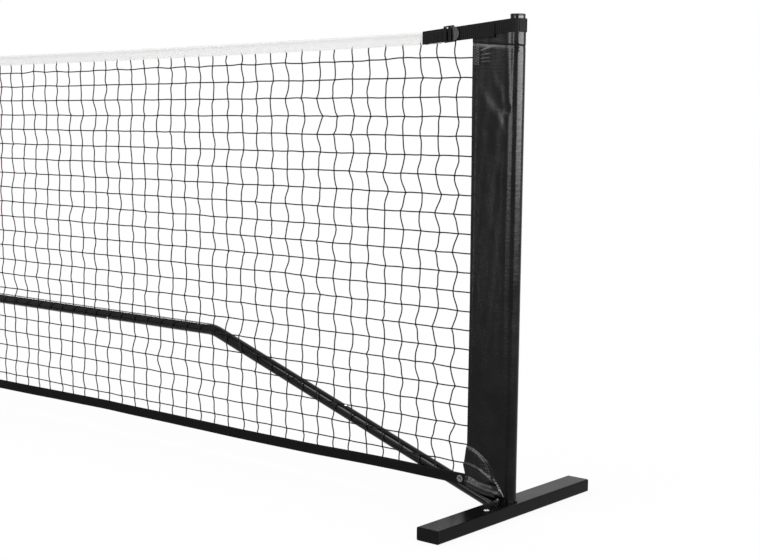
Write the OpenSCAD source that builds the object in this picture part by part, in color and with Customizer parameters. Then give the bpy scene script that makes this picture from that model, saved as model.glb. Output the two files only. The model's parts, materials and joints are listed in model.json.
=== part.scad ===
// Portable court net: two floor feet with posts, a knock-down tube frame with a
// middle foot, and a net that a webbing strap and buckle pull tight at each post.
// Millimetres. X runs along the net, Y through it, Z up from the floor.

/* [Overall] */
// Distance between the two post axes
post_span = 6706; // [5400:1:7400]
// Height of the headband's top edge at its ends
side_height = 914; // [890:1:920]
// Height of the headband's top edge at mid-net
centre_height = 864; // [800:1:880]
// Depth of the headband's sag in each half
headband_sag = 13; // [0:0.5:20]

/* [Feet] */
// Length of a foot with its end caps
foot_length = 500; // [400:1:700]
// Width of the foot tube
foot_width = 50; // [44:1:70]
// Height of the foot tube
foot_height = 25; // [24:0.5:32]
// Wall of the foot tube
foot_wall = 2; // [1.2:0.1:3]
// Outer corner radius of the foot tube
foot_corner = 3; // [2.2:0.1:5]
// Thickness of an end cap outside the tube
cap_rim = 3; // [1:0.1:6]
// Depth of an end cap's plug inside the tube
cap_plug = 14; // [6:0.5:30]
// Distance of the foot rivet from the post axis
foot_rivet_reach = 78; // [50:1:120]
// Distance of the foot rivet from the foot's middle line, away from the net
foot_rivet_offset = 6; // [0:0.5:8]
// Diameter of the foot rivet's head
foot_rivet_d = 10.5; // [8:0.1:16]

/* [Posts] */
// Outer diameter of a post
post_d = 28; // [26:0.1:32]
// Wall of a post
post_wall = 1.5; // [1:0.1:2.2]
// Height of a post's upper end above the floor
post_top = 940; // [940:1:1000]
// Thickness of the post cap above the tube
post_cap_t = 4; // [2:0.1:12]
// Thickness of the round flange under a post
flange_t = 3; // [2:0.1:5]
// Radius of the round flange under a post
flange_r = 18; // [17:0.1:21]
// Height of the stub inside a post, above the flange
stub_height = 100; // [80:1:200]
// How far a post lifts on its stub before it is free
post_travel = 60; // [20:1:75]

/* [Frame tubes] */
// Outer diameter of the frame tubes
tube_d = 25; // [23:0.1:27]
// Wall of the frame tubes
tube_wall = 1.5; // [1:0.1:2]
// Height of the level rail's axis
rail_height = 273; // [240:1:330]
// Distance of the bend's corner from the post axis
bend_reach = 795; // [700:1:900]
// Centreline radius of the bend
bend_radius = 100; // [60:1:160]
// Gap between the foot and the lower tube's end
lower_start = 8; // [6:0.5:15]
// Length of the lower tube
lower_length = 293; // [230:1:340]
// Level length of the bent tube past its corner
bend_run = 236; // [200:1:330]
// Distance from a tube seam to the snap button or rivet beside it
seam_offset = 109; // [70:1:120]
// Length of a ferrule past its snap button or rivet
ferrule_end = 30; // [28:0.5:34]
// Wall of the ferrules and stubs
ferrule_wall = 1.5; // [1:0.1:2]
// Length of the hub's cross tube on each side
hub_reach = 60; // [40:1:120]
// Height of the hub's socket above the rail
hub_socket = 48; // [30:1:90]
// Height of the hub's socket floor below the rail
socket_floor = 50; // [20:1:90]
// Outer diameter of the centre post
centre_post_d = 20; // [16:0.1:20.5]
// Wall of the centre post
centre_post_wall = 1.5; // [1:0.1:3]

/* [Snap buttons and rivets] */
// Diameter of a snap button
button_d = 7.2; // [6:0.1:7.6]
// How far a snap button stands above its tube
button_proud = 3; // [2:0.1:3.4]
// How far a snap button travels when it is pressed
button_travel = 3.2; // [2:0.1:3.6]
// Diameter of a ferrule rivet's head
rivet_head_d = 6.5; // [5:0.1:7]
// Diameter of a rivet's shank
rivet_shank_d = 3.8; // [3:0.1:4]

/* [Net] */
// Gap between the frame tubes and the mesh
net_clear = 1.5; // [1.2:0.1:6]
// Thickness of the mesh
mesh_t = 2; // [1.5:0.1:2.4]
// Width of a mesh cord
cord_w = 4; // [2:0.1:8]
// Meshes along the net
mesh_columns = 31; // [11:1:41]
// Meshes up the net
mesh_rows = 4; // [2:1:6]
// Distance of the mesh's side edge from the post axis
net_edge = 91; // [80:1:98]
// Height of the white headband
band_height = 24; // [22:0.5:30]
// Thickness of the headband's cloth
band_cloth = 0.9; // [0.5:0.1:1.4]
// Distance of the headband's end from the post axis
band_end = 165; // [161:1:180]
// Diameter of the cord in the headband
head_cord_d = 5; // [3:0.1:7]
// Height of the bottom tape's lower edge
bottom_tape_z = 45; // [40:1:48]
// Height of the bottom tape
bottom_tape_h = 22; // [18:0.5:30]
// Thickness of the bottom tape
bottom_tape_t = 3; // [2:0.1:3.6]
// Outer diameter of an eyelet
eyelet_d = 14; // [11:0.1:17]
// Bore of an eyelet
eyelet_bore = 6.4; // [4:0.1:7.4]
// Distance of an eyelet from the post axis
eyelet_reach = 102; // [101:1:115]

/* [Post sleeves] */
// Wall of the vinyl sleeve
sleeve_t = 1.1; // [0.7:0.1:1.3]
// Gap between a post and its sleeve
sleeve_gap = 0.4; // [0.3:0.05:0.9]
// Height of the sleeve's lower edge at the post
sleeve_bottom = 30; // [29:0.5:38]
// Width of the sleeve's seam band
seam_w = 8; // [5:0.5:12]
// How far the strap hides the sleeve's top edge
sleeve_tuck = 5; // [1:0.5:9]

/* [Straps and buckles] */
// Height of the strap's middle on the post
strap_post_z = 923; // [918:0.5:926]
// Width of the webbing
strap_w = 25; // [20:0.5:25]
// Thickness of the webbing
strap_t = 1.5; // [1:0.1:1.8]
// Distance of the strap's sewn end from the post axis
anchor_reach = 205; // [195:1:240]
// Distance of the buckle's hinge bar from the post axis
hinge_reach = 150; // [140:1:155]
// Distance of the strap tail's free end from the post axis
tail_reach = 39; // [25:1:90]
// Diameter of the buckle's hinge bar
hinge_bar_d = 4; // [3:0.1:4.6]
// Length of the buckle's frame past the hinge bar
buckle_length = 21; // [20.5:0.5:26]
// Length of the buckle's release tab
tab_length = 12; // [8:0.5:18]
// Thickness of the buckle's frame
buckle_t = 3; // [2.4:0.1:4]
// Width of each side rail of the buckle
buckle_rail = 2.5; // [1.5:0.1:4]

/* [Centre pocket] */
// Height of the pocket behind the headband
pocket_height = 70; // [40:1:140]
// Width of the pocket's sewn plate
pocket_plate_w = 48; // [34:1:90]
// Height of the pocket's sewn plate
pocket_plate_h = 14; // [8:0.5:16]

/* [Hidden] */
$fn = 48;

fit = 0.3;               // running gap between parts that slide or turn
fine = 0.15;             // gap of a tube on its ferrule
lap = 0.5;               // overlap of shapes that are joined into one piece
long = 400;              // longer than any cut has to be
half_span = post_span / 2;

// Frame line: it leaves the inner side of the foot and climbs to the rail.
tube_r = tube_d / 2;
spigot_z = foot_height / 2;
climb = atan((rail_height - spigot_z) / (bend_reach - foot_width / 2));
slope_length = (bend_reach - foot_width / 2) / cos(climb);
bend_tangent = bend_radius * tan(climb / 2);
ferrule_r = tube_r - tube_wall - fine;
ferrule_in = ferrule_r - ferrule_wall;
lower_seam = lower_start + lower_length;
first_seam = bend_reach + bend_run;
rail_length = (half_span - hub_reach - first_seam) / 3;
seams = [for (i = [0:3]) first_seam + i * rail_length];
rail_names = ["outer", "middle", "inner"];
free_reach = seam_offset + ferrule_end;
button_hole_r = button_d / 2 + fit;
rivet_hole_r = rivet_shank_d / 2 + fine;
button_lean = 32;        // the rail's buttons point forwards and this far down

// Net plane and the layers in front of it.
net_y = -(tube_r + net_clear + mesh_t / 2);
bead_t = head_cord_d + 2 * fine + 2 * band_cloth;
band_t = mesh_t + 0.4;
band_half = half_span - band_end;
mesh_half = half_span - net_edge;
tape_top = bottom_tape_z + bottom_tape_h;

// Sleeve and strap, seen from above at the right post.
post_r = post_d / 2;
sleeve_in = post_r + sleeve_gap;
sleeve_r = sleeve_in + sleeve_t;
sleeve_top = strap_post_z - strap_w / 2 + sleeve_tuck + 3;
wrap_in = sleeve_r + 0.2;
wrap_out = wrap_in + strap_t;
strap_rise = atan((strap_post_z - side_height + band_height / 2) / anchor_reach);
bar_r = hinge_bar_d / 2;
loop_in = bar_r + fit;
loop_out = loop_in + strap_t;
hinge_y = net_y - bead_t / 2 - fit - loop_out;
buckle_back = buckle_t / 3;
tail_y = buckle_back + fit;
main_y = tail_y + strap_t + fit;
middle_bar = 10;         // near edge of the buckle's middle bar, from the hinge
middle_bar_w = 4;
web_gap = 0.2;           // webbing to the bar that it goes round
right_bar = buckle_length - 3.2;
tail_droop = 3;          // how far the tail hangs from the line of the strap
tab_tilt = 12;           // how far the release tab leans back to the strap
arc_steps = 32;          // flats of what is wrapped round a post

// Sagging curve of the headband's top edge at x.
function band_curve(x) =
    let (reach = half_span - anchor_reach, t = (reach - abs(x)) / reach)
    side_height - (side_height - centre_height) * t - 4 * headband_sag * t * (1 - t);

// Height of mesh line j at x.
function mesh_z(x, j) =
    let (top = band_top(x) - band_height)
    tape_top + (top - tape_top) * j / mesh_rows;

// Even stations from -half to half.
function stations(half, steps) = [for (i = [0:steps]) -half + 2 * half * i / steps];

// Height of the headband's top edge at x: straight between the net's stations.
band_table = [for (x = stations(mesh_half, mesh_columns)) [x, band_curve(x)]];
function band_top(x) = lookup(x, band_table);

// Stations of a band that ends at half: the net's own, and one at each end.
function band_stations(half) =
    concat([-half], [for (x = stations(mesh_half, mesh_columns)) if (abs(x) < half - 1) x], [half]);

// Outline of a strip along the headband between two depths below its top edge.
function band_strip(half, upper, lower) =
    let (xs = band_stations(half))
    concat([for (x = xs) [x, band_top(x) - upper]],
           [for (i = [len(xs) - 1:-1:0]) [xs[i], band_top(xs[i]) - lower]]);

// Points where lines from p touch a circle of radius r at the origin.
function touch(p, r, side) =
    let (away = atan2(p.y, p.x), open = acos(r / norm(p)))
    [r * cos(away + side * open), r * sin(away + side * open)];

// ---- placing -------------------------------------------------------------

// Puts a shape that is drawn from the right post's axis at one end of the net.
module at_end(side) {
    if (side > 0)
        translate([half_span, 0, 0]) children();
    else
        mirror([1, 0, 0]) translate([half_span, 0, 0]) children();
}

// Frame along the sloping tube: X is the tube's run from the foot, Z its upper side.
module on_slope(run) {
    translate([-foot_width / 2, 0, spigot_z])
        rotate([0, climb, 0]) rotate([0, 0, 180]) translate([run, 0, 0]) children();
}

// Frame along the rail: X runs to mid-net, measured from the post axis.
module on_rail(run) {
    translate([-run, 0, rail_height]) rotate([0, 0, 180]) children();
}

// Turns a rail shape's Z to the front, leaning down by the given angle.
module face_front(lean) {
    rotate([-90 - lean, 0, 0]) children();
}

// Frame of the strap: Z along the webbing's width, origin on the post axis.
module on_strap() {
    translate([0, 0, strap_post_z]) rotate([0, -strap_rise, 0]) children();
}

// Frame of the buckle: X from the hinge bar to the post, Y to the back.
module on_buckle() {
    on_strap() translate([-hinge_reach, hinge_y, 0]) children();
}

// Extrudes a plan over the width of the webbing.
module webbing(width = strap_w) {
    linear_extrude(width, center = true) children();
}

// ---- shapes --------------------------------------------------------------

module rounded_rect(w, h, r) {
    square([w - 2 * r, h], center = true);
    square([w, h - 2 * r], center = true);
    for (x = [-1, 1], y = [-1, 1])
        translate([x * (w / 2 - r), y * (h / 2 - r)]) circle(r);
}

// Cylinder along X from one station to the next.
module rod(from, to, r) {
    translate([from, 0, 0]) rotate([0, 90, 0]) cylinder(h = to - from, r = r);
}

// Hole along Z through one wall of a tube whose axis is X.
module wall_hole(x, r) {
    translate([x, 0, 0]) cylinder(h = tube_d, r = r);
}

// Head of a rivet: a low dome of the given diameter and height.
module dome(d, h) {
    ball = (d * d / 4 + h * h) / (2 * h);
    intersection() {
        translate([0, 0, h - ball]) sphere(ball, $fn = 64);
        cylinder(h = h, d = d);
    }
}

// ---- feet ----------------------------------------------------------------

foot_inner_w = foot_width - 2 * foot_wall;
foot_inner_h = foot_height - 2 * foot_wall;
foot_inner_r = max(foot_corner - foot_wall, 0.5);

module foot(rivet_x, rivet_y) {
    color([0.05, 0.05, 0.055])
    difference() {
        translate([0, 0, foot_height / 2]) rotate([90, 0, 0])
            linear_extrude(foot_length - 2 * cap_rim, center = true)
                difference() {
                    rounded_rect(foot_width, foot_height, foot_corner);
                    rounded_rect(foot_inner_w, foot_inner_h, foot_inner_r);
                }
        if (rivet_y != 0)
            translate([rivet_x, rivet_y, foot_height - 2 * foot_wall])
                cylinder(h = 3 * foot_wall, r = rivet_hole_r);
    }
}

// One end cap, drawn at the foot's far end.
module foot_cap() {
    translate([0, foot_length / 2, foot_height / 2]) rotate([90, 0, 0]) {
        linear_extrude(cap_rim) rounded_rect(foot_width, foot_height, foot_corner);
        linear_extrude(cap_rim + cap_plug)
            difference() {
                rounded_rect(foot_inner_w - fit, foot_inner_h - fit, foot_inner_r);
                rounded_rect(foot_inner_w - 4 - fit, foot_inner_h - 4 - fit, foot_inner_r);
            }
    }
}

module foot_caps() {
    color([0.04, 0.04, 0.04])
    for (x = [-half_span, 0, half_span], turn = [0, 180])
        translate([x, 0, 0]) rotate([0, 0, turn]) foot_cap();
}

// Flange on the foot with the stub that a post slides over.
module post_stub() {
    stub_r = post_r - post_wall - fit;
    color([0.05, 0.05, 0.055])
    translate([0, 0, foot_height]) {
        cylinder(h = flange_t, r = flange_r);
        difference() {
            cylinder(h = flange_t + stub_height, r = stub_r);
            translate([0, 0, flange_t]) cylinder(h = stub_height + lap, r = stub_r - 2);
        }
    }
}

// Stub on the inner side of the foot that the lower tube slides over.
module frame_spigot() {
    color([0.05, 0.05, 0.055])
    difference() {
        on_slope(0) rod(-foot_height, free_reach - ferrule_end, ferrule_r);
        on_slope(0) rod(-foot_height - lap, free_reach, ferrule_in);
        translate([-foot_width / 2, -long / 2, -long / 2]) cube(long);
    }
}

// ---- posts ---------------------------------------------------------------

module post() {
    color([0.03, 0.03, 0.03])
    translate([0, 0, foot_height + flange_t])
        difference() {
            cylinder(h = post_top - foot_height - flange_t, r = post_r);
            translate([0, 0, -lap]) cylinder(h = post_top, r = post_r - post_wall);
        }
}

cap_edge = 1;            // chamfer round the top of a post cap

module post_cap() {
    plug_r = post_r - post_wall - fine;
    color([0.02, 0.02, 0.02])
    translate([0, 0, post_top]) {
        cylinder(h = post_cap_t - cap_edge, r = post_r);
        translate([0, 0, post_cap_t - cap_edge])
            cylinder(h = cap_edge, r1 = post_r, r2 = post_r - cap_edge);
        translate([0, 0, -16])
            difference() {
                cylinder(h = 16 + lap, r = plug_r);
                translate([0, 0, -lap]) cylinder(h = 14, r = plug_r - 2);
            }
    }
}

// ---- frame tubes ---------------------------------------------------------

module lower_tube() {
    color([0.05, 0.05, 0.055])
    on_slope(0)
        difference() {
            rod(lower_start, lower_seam, tube_r);
            rod(lower_start - lap, lower_seam + lap, tube_r - tube_wall);
            face_front(0) wall_hole(lower_seam - seam_offset, rivet_hole_r);
        }
}

// Path of the bent tube with a given radius, run on past its ends by over. The bend
// is drawn a step thicker or thinner, so that the straights end inside it.
module bend_path(r, over, step) {
    on_slope(0) rod(lower_seam - over, slope_length - bend_tangent + lap, r);
    on_slope(slope_length - bend_tangent)
        translate([0, 0, -bend_radius]) rotate([-90, 0, 0]) rotate([0, 0, -90])
            rotate_extrude(angle = climb) translate([bend_radius, 0]) circle(r + step);
    on_rail(0) rod(bend_reach + bend_tangent - lap, first_seam + over, r);
}

module bend_tube() {
    color([0.05, 0.05, 0.055])
    difference() {
        bend_path(tube_r, 0, 0.02);
        bend_path(tube_r - tube_wall, lap, -0.02);
        on_slope(0) wall_hole(lower_seam + seam_offset, button_hole_r);
        on_rail(0) face_front(0) wall_hole(first_seam - seam_offset, rivet_hole_r);
    }
}

// Level tube i, counted from the bend: a button hole at one end, a rivet hole at the other.
module rail(i) {
    color([0.05, 0.05, 0.055])
    on_rail(0)
        difference() {
            rod(seams[i], seams[i + 1], tube_r);
            rod(seams[i] - lap, seams[i + 1] + lap, tube_r - tube_wall);
            face_front(button_lean) wall_hole(seams[i] + seam_offset, button_hole_r);
            if (i < 2)
                face_front(0) wall_hole(seams[i + 1] - seam_offset, rivet_hole_r);
            else
                face_front(button_lean) wall_hole(seams[3] - seam_offset, button_hole_r);
        }
}

// Inner tube that joins two frame tubes: riveted at one end, buttoned at the other.
module ferrule(lean) {
    difference() {
        rod(-free_reach, free_reach, ferrule_r);
        rod(-free_reach - lap, free_reach + lap, ferrule_in);
        face_front(0) wall_hole(-seam_offset, rivet_hole_r);
        face_front(lean) wall_hole(seam_offset, button_hole_r);
    }
}

module ferrules() {
    color([0.55, 0.56, 0.58]) {
        on_slope(lower_seam) ferrule(-90);
        for (i = [0:2]) on_rail(seams[i]) ferrule(button_lean);
    }
}

// Pop rivet through a tube and its ferrule, along Z.
module tube_rivet() {
    translate([0, 0, tube_r]) dome(rivet_head_d, 1.2);
    translate([0, 0, ferrule_in]) cylinder(h = tube_r - ferrule_in + lap / 2, d = rivet_shank_d);
    translate([0, 0, ferrule_in - 2.6]) cylinder(h = 2, d = rivet_shank_d + 2);
    translate([0, 0, ferrule_in - 1]) cylinder(h = 1 + lap, d = rivet_shank_d);
}

module rivets() {
    color([0.75, 0.76, 0.78]) {
        on_slope(lower_seam - seam_offset) face_front(0) tube_rivet();
        for (i = [0:2]) on_rail(seams[i] - seam_offset) face_front(0) tube_rivet();
        translate([foot_rivet_offset, -foot_rivet_reach, foot_height]) {
            dome(foot_rivet_d, 2.2);
            translate([0, 0, -foot_wall - 2]) cylinder(h = foot_wall + 2 + lap, d = rivet_shank_d);
            translate([0, 0, -foot_wall - 4]) cylinder(h = 3, d = rivet_shank_d + 2.4);
        }
    }
}

// ---- snap buttons --------------------------------------------------------

arm_t = 1;                                   // spring arm under the button
arm_top = sqrt(ferrule_in * ferrule_in - 16) - 0.55;
clip_t = 0.8;

// Snap button with its spring arm: Z points out of the tube, X along it.
module snap_button() {
    color([0.78, 0.79, 0.8]) {
        translate([0, 0, arm_top - lap])
            cylinder(h = tube_r + button_proud - button_d / 2 - arm_top + lap, d = button_d);
        translate([0, 0, tube_r + button_proud - button_d / 2]) sphere(d = button_d);
        translate([-18, -4, arm_top - arm_t]) cube([24, 8, arm_t]);
    }
}

// Spring clip that stays in the ferrule, opposite the button.
module spring_clip() {
    floor_z = -sqrt(ferrule_in * ferrule_in - 9) + fine;
    translate([-26, -3, floor_z]) cube([38, 6, clip_t]);
    translate([-26, -3, floor_z]) cube([clip_t, 6, 4 - floor_z]);
    translate([-26, -3, 4 - clip_t]) cube([6, 6, clip_t]);
}

// Places a shape at joint k: 0 lower, 1 to 3 along the rail, 4 at the hub.
module at_button(k) {
    if (k == 0)
        on_slope(lower_seam + seam_offset) children();
    else if (k < 4)
        on_rail(seams[k - 1] + seam_offset) face_front(button_lean) children();
    else
        on_rail(seams[3] - seam_offset) face_front(button_lean) children();
}

module spring_clips() {
    color([0.6, 0.62, 0.64])
    for (k = [0:4]) at_button(k) spring_clip();
}

// ---- middle of the net ---------------------------------------------------

hub_stem_r = tube_r;
socket_r = centre_post_d / 2 + fit;
socket_z = rail_height - socket_floor;
centre_post_top = centre_height - 16;

// Welded tee that stands on the middle foot.
module centre_hub() {
    color([0.05, 0.05, 0.055])
    difference() {
        union() {
            translate([0, 0, foot_height])
                cylinder(h = rail_height + hub_socket - foot_height, r = hub_stem_r);
            translate([0, 0, rail_height]) {
                rod(-hub_reach, hub_reach, tube_r);
                rod(-hub_reach - free_reach, hub_reach + free_reach, ferrule_r);
            }
        }
        translate([0, 0, socket_z]) cylinder(h = rail_height, r = socket_r);
        translate([0, 0, foot_height - lap])
            cylinder(h = socket_z - foot_height - 6, r = hub_stem_r - 2);
        for (side = [-1, 1])
            translate([0, 0, rail_height]) rotate([0, 0, side > 0 ? 0 : 180]) {
                rod(hub_stem_r + 6, hub_reach + free_reach + lap, ferrule_in);
                rotate([side * (90 + button_lean), 0, 0])
                    wall_hole(hub_reach + seam_offset, button_hole_r);
            }
    }
}

module centre_post() {
    color([0.04, 0.04, 0.045])
    translate([0, 0, socket_z])
        difference() {
            cylinder(h = centre_post_top - socket_z, d = centre_post_d);
            translate([0, 0, -lap])
                cylinder(h = centre_post_top, r = centre_post_d / 2 - centre_post_wall);
        }
}

module centre_post_cap() {
    plug_r = centre_post_d / 2 - centre_post_wall - fine;
    color([0.02, 0.02, 0.02])
    translate([0, 0, centre_post_top]) {
        dome(centre_post_d, 3);
        translate([0, 0, -12]) cylinder(h = 12 + lap, r = plug_r);
    }
}

// Pocket sewn behind the headband: it takes the top of the centre post.
module centre_pocket() {
    wall = 1.2;
    cavity_r = centre_post_d / 2 + 0.4;
    back = net_y + mesh_t / 2 + fit;
    top = centre_height - 8;
    color([0.03, 0.03, 0.03])
    difference() {
        union() {
            translate([0, 0, top - pocket_height])
                cylinder(h = pocket_height, r = cavity_r + wall);
            translate([-pocket_plate_w / 2, back, top - pocket_plate_h])
                cube([pocket_plate_w, wall, pocket_plate_h]);
            translate([-cavity_r / 2, back, top - pocket_height])
                cube([cavity_r, -back, pocket_height]);
        }
        translate([0, 0, top - pocket_height - lap])
            cylinder(h = pocket_height + lap - 3.5, r = cavity_r);
    }
}

// ---- net -----------------------------------------------------------------

// Flat net: one outline with a hole for each mesh.
module net_mesh() {
    xs = stations(mesh_half, mesh_columns);
    edge = concat([for (x = xs) [x, tape_top]],
                  [for (i = [mesh_columns:-1:0]) [xs[i], band_top(xs[i]) - band_height]]);
    half = cord_w / 2;
    holes = [for (i = [0:mesh_columns - 1], j = [0:mesh_rows - 1])
        let (a = xs[i] + half, b = xs[i + 1] - half)
        [[a, mesh_z(a, j) + half], [b, mesh_z(b, j) + half],
         [b, mesh_z(b, j + 1) - half], [a, mesh_z(a, j + 1) - half]]];
    count = len(edge);
    color([0.03, 0.03, 0.03])
    translate([0, net_y + mesh_t / 2, 0]) rotate([90, 0, 0])
        linear_extrude(mesh_t)
            polygon(points = concat(edge, [for (h = holes) each h]),
                    paths = concat([[for (i = [0:count - 1]) i]],
                                   [for (k = [0:len(holes) - 1])
                                       [for (c = [0:3]) count + 4 * k + c]]));
}

// Upright slab of the given thickness, centred on the net plane.
module net_slab(thickness) {
    translate([0, net_y + thickness / 2, 0]) rotate([90, 0, 0])
        linear_extrude(thickness) children();
}

// Folded band: a bead round the cord and two layers below it.
module headband() {
    channel = head_cord_d + 2 * fine;
    color([0.9, 0.9, 0.9])
    difference() {
        union() {
            net_slab(bead_t) polygon(band_strip(band_half, 0, channel + 2 * band_cloth));
            net_slab(band_t) polygon(band_strip(band_half, band_cloth, band_height));
        }
        net_slab(channel)
            polygon(band_strip(band_half + lap, band_cloth, band_cloth + channel));
    }
}

// Cord through the headband and on to the sleeves.
module head_cord() {
    sides = 8;
    drop = band_cloth + fine + head_cord_d / 2;
    xs = concat([-mesh_half], band_stations(band_half), [mesh_half]);
    rings = len(xs);
    points = [for (x = xs, s = [0:sides - 1])
        let (a = 360 * (s + 0.5) / sides, y = abs(x) > band_half ? net_y + 0.8 : net_y)
        [x, y + head_cord_d / 2 * cos(a), band_top(x) - drop + head_cord_d / 2 * sin(a)]];
    sides_faces = [for (i = [0:rings - 2], s = [0:sides - 1])
        let (t = (s + 1) % sides, a = i * sides, b = a + sides)
        each [[a + s, b + s, b + t], [a + s, b + t, a + t]]];
    ends = [for (s = [1:sides - 2])
        each [[0, s, s + 1],
              [(rings - 1) * sides, (rings - 1) * sides + s + 1, (rings - 1) * sides + s]]];
    color([0.1, 0.1, 0.1]) polyhedron(points, concat(sides_faces, ends));
}

module bottom_tape() {
    color([0.03, 0.03, 0.03])
    difference() {
        translate([-mesh_half, net_y - bottom_tape_t / 2, bottom_tape_z])
            cube([2 * mesh_half, bottom_tape_t, bottom_tape_h]);
        for (side = [-1, 1])
            translate([side * (half_span - eyelet_reach), net_y, bottom_tape_z + bottom_tape_h / 2])
                rotate([90, 0, 0])
                    cylinder(h = 2 * bottom_tape_t, r = eyelet_bore / 2 + 0.8, center = true);
    }
}

module eyelets() {
    flange = 0.8;
    half = bottom_tape_t / 2;
    color([0.35, 0.35, 0.37])
    for (side = [-1, 1])
        translate([side * (half_span - eyelet_reach), net_y, bottom_tape_z + bottom_tape_h / 2])
            rotate([90, 0, 0])
                difference() {
                    union() {
                        for (z = [-half - flange, half]) translate([0, 0, z])
                            cylinder(h = flange, d = eyelet_d);
                        cylinder(h = 2 * half + flange, r = eyelet_bore / 2 + 0.7, center = true);
                    }
                    cylinder(h = 4 * half + 2, d = eyelet_bore, center = true);
                }
}

// ---- sleeves -------------------------------------------------------------

// Point at x on the line through a and b.
function on_line(a, b, x) = a + (b - a) * (x - a.x) / (b.x - a.x);

// Line that goes round the post from a front point to a back one, in arc_steps flats,
// with both ends drawn out to x.
function wrap_line(r, front, back, x) =
    let (a = touch(front, r, 1), b = touch(back, r, -1),
         from = atan2(a.y, a.x), turn = atan2(b.y, b.x) - from)
    concat([on_line(a, front, x)],
           [for (i = [0:arc_steps]) let (t = from + turn * i / arc_steps) r * [cos(t), sin(t)]],
           [on_line(b, back, x)]);

// Vinyl tube round the post, pinched to a flat seam where the mesh is sewn in.
module sleeve() {
    edge = -net_edge + seam_w;
    rim = [0, sleeve_t];
    slit = [0, 0.2];
    seam = [edge, net_y];
    color([0.025, 0.025, 0.025])
    difference() {
        linear_extrude(sleeve_top)
            difference() {
                polygon(concat([[-net_edge, net_y] - rim],
                               wrap_line(sleeve_r, seam - rim, seam + rim, edge),
                               [[-net_edge, net_y] + rim]));
                polygon(wrap_line(sleeve_in, seam - slit, seam + slit, edge));
            }
        rotate([90, 0, 0])
            linear_extrude(long, center = true)
                polygon([[-long, -9], [long, -9], [long, sleeve_bottom],
                         [post_r, sleeve_bottom], [edge, bottom_tape_z],
                         [-long, bottom_tape_z]]);
        on_slope(0) rod(-long / 2, slope_length / 2, tube_r + 0.8);
    }
}

// ---- straps and buckles --------------------------------------------------

// Sewn end of the webbing: a flat double layer and the loop round the hinge bar.
module anchor_strap() {
    color([0.035, 0.035, 0.035])
    on_buckle() webbing()
        difference() {
            union() {
                circle(loop_out);
                translate([hinge_reach - anchor_reach, loop_out - 2 * strap_t])
                    square([anchor_reach - hinge_reach, 2 * strap_t]);
            }
            circle(loop_in);
        }
}

// Side view of the webbing that goes round the post: level there, falling to the net.
module strap_side() {
    fall = long * tan(strap_rise);
    polygon([[-long, -strap_w / 2 - fall], [0, -strap_w / 2], [long, -strap_w / 2],
             [long, strap_w / 2], [0, strap_w / 2], [-long, strap_w / 2 - fall]]);
}

// Long webbing: from the buckle round the post to the back of the headband, and its tail.
module post_strap() {
    front = [-hinge_reach, hinge_y + main_y];
    back = [-band_end + 4, net_y + bead_t / 2 + fit];
    thick = [0, strap_t];
    sewn = [-anchor_reach, back.y];
    outside = concat(wrap_line(wrap_out, front, back + thick, back.x), [sewn + thick]);
    inside = concat(wrap_line(wrap_in, front + thick, back, back.x), [sewn]);
    tail_start = hinge_reach - right_bar + 1.4;
    lie = (front.y + wrap_out) / hinge_reach;
    tail_y0 = hinge_y + tail_y;
    tail_y1 = tail_y0 - lie * (tail_start - tail_reach);
    color([0.035, 0.035, 0.035]) {
        difference() {
            translate([0, 0, strap_post_z])
                intersection() {
                    linear_extrude(long, center = true)
                        polygon(concat(outside, [for (i = [len(inside) - 1:-1:0]) inside[i]]));
                    rotate([90, 0, 0]) linear_extrude(long, center = true) strap_side();
                }
            on_buckle() translate([middle_bar + 1.2 - long, -long + main_y + strap_t + 1, -long / 2])
                cube(long);
        }
        on_strap() translate([-tail_start, 0, 0]) rotate([0, tail_droop, 0])
            translate([tail_start, 0, 0]) webbing()
                polygon([[-tail_start, tail_y0], [-tail_reach, tail_y1],
                         [-tail_reach, tail_y1 + strap_t], [-tail_start, tail_y0 + strap_t]]);
    }
}

// Short bight of webbing round the buckle's middle bar.
module buckle_webbing() {
    near = middle_bar - web_gap - strap_t;
    far = middle_bar + middle_bar_w + web_gap + strap_t;
    front = buckle_back - buckle_t - web_gap - strap_t;
    color([0.035, 0.035, 0.035])
    on_buckle() webbing()
        difference() {
            translate([near, front]) square([far - near, main_y + strap_t - front]);
            translate([near + strap_t, front + strap_t])
                square([far - near - 2 * strap_t, long]);
            translate([near + strap_t, tail_y + strap_t]) square(long);
        }
}

// Ladder-lock buckle: hinge bar, middle bar, far bar and a rounded release tab.
module buckle() {
    side_z = strap_w / 2 + lap;
    front = buckle_back - buckle_t;
    color([0.02, 0.02, 0.02])
    on_buckle() {
        cylinder(h = 2 * side_z + lap, d = hinge_bar_d, center = true);
        for (z = [-side_z - buckle_rail, side_z])
            translate([-bar_r, front, z]) cube([buckle_length + bar_r, buckle_t, buckle_rail]);
        translate([middle_bar, front, -side_z - lap / 2])
            cube([middle_bar_w, buckle_t, 2 * side_z + lap]);
        translate([right_bar, front, -side_z - lap / 2])
            cube([buckle_length - right_bar, buckle_t, 2 * side_z + lap]);
        translate([buckle_length - lap, front, 0]) rotate([0, 0, tab_tilt])
            rotate([90, 0, 0]) linear_extrude(1.6)
                intersection() {
                    translate([tab_length - 14, 0]) circle(14);
                    translate([0, -long / 2]) square([tab_length, long]);
                }
        translate([buckle_length - 2, front - 1.6, -8]) cube([2.5, 1.6 + lap, 16]);
    }
}

// ---- the assembly --------------------------------------------------------

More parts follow.
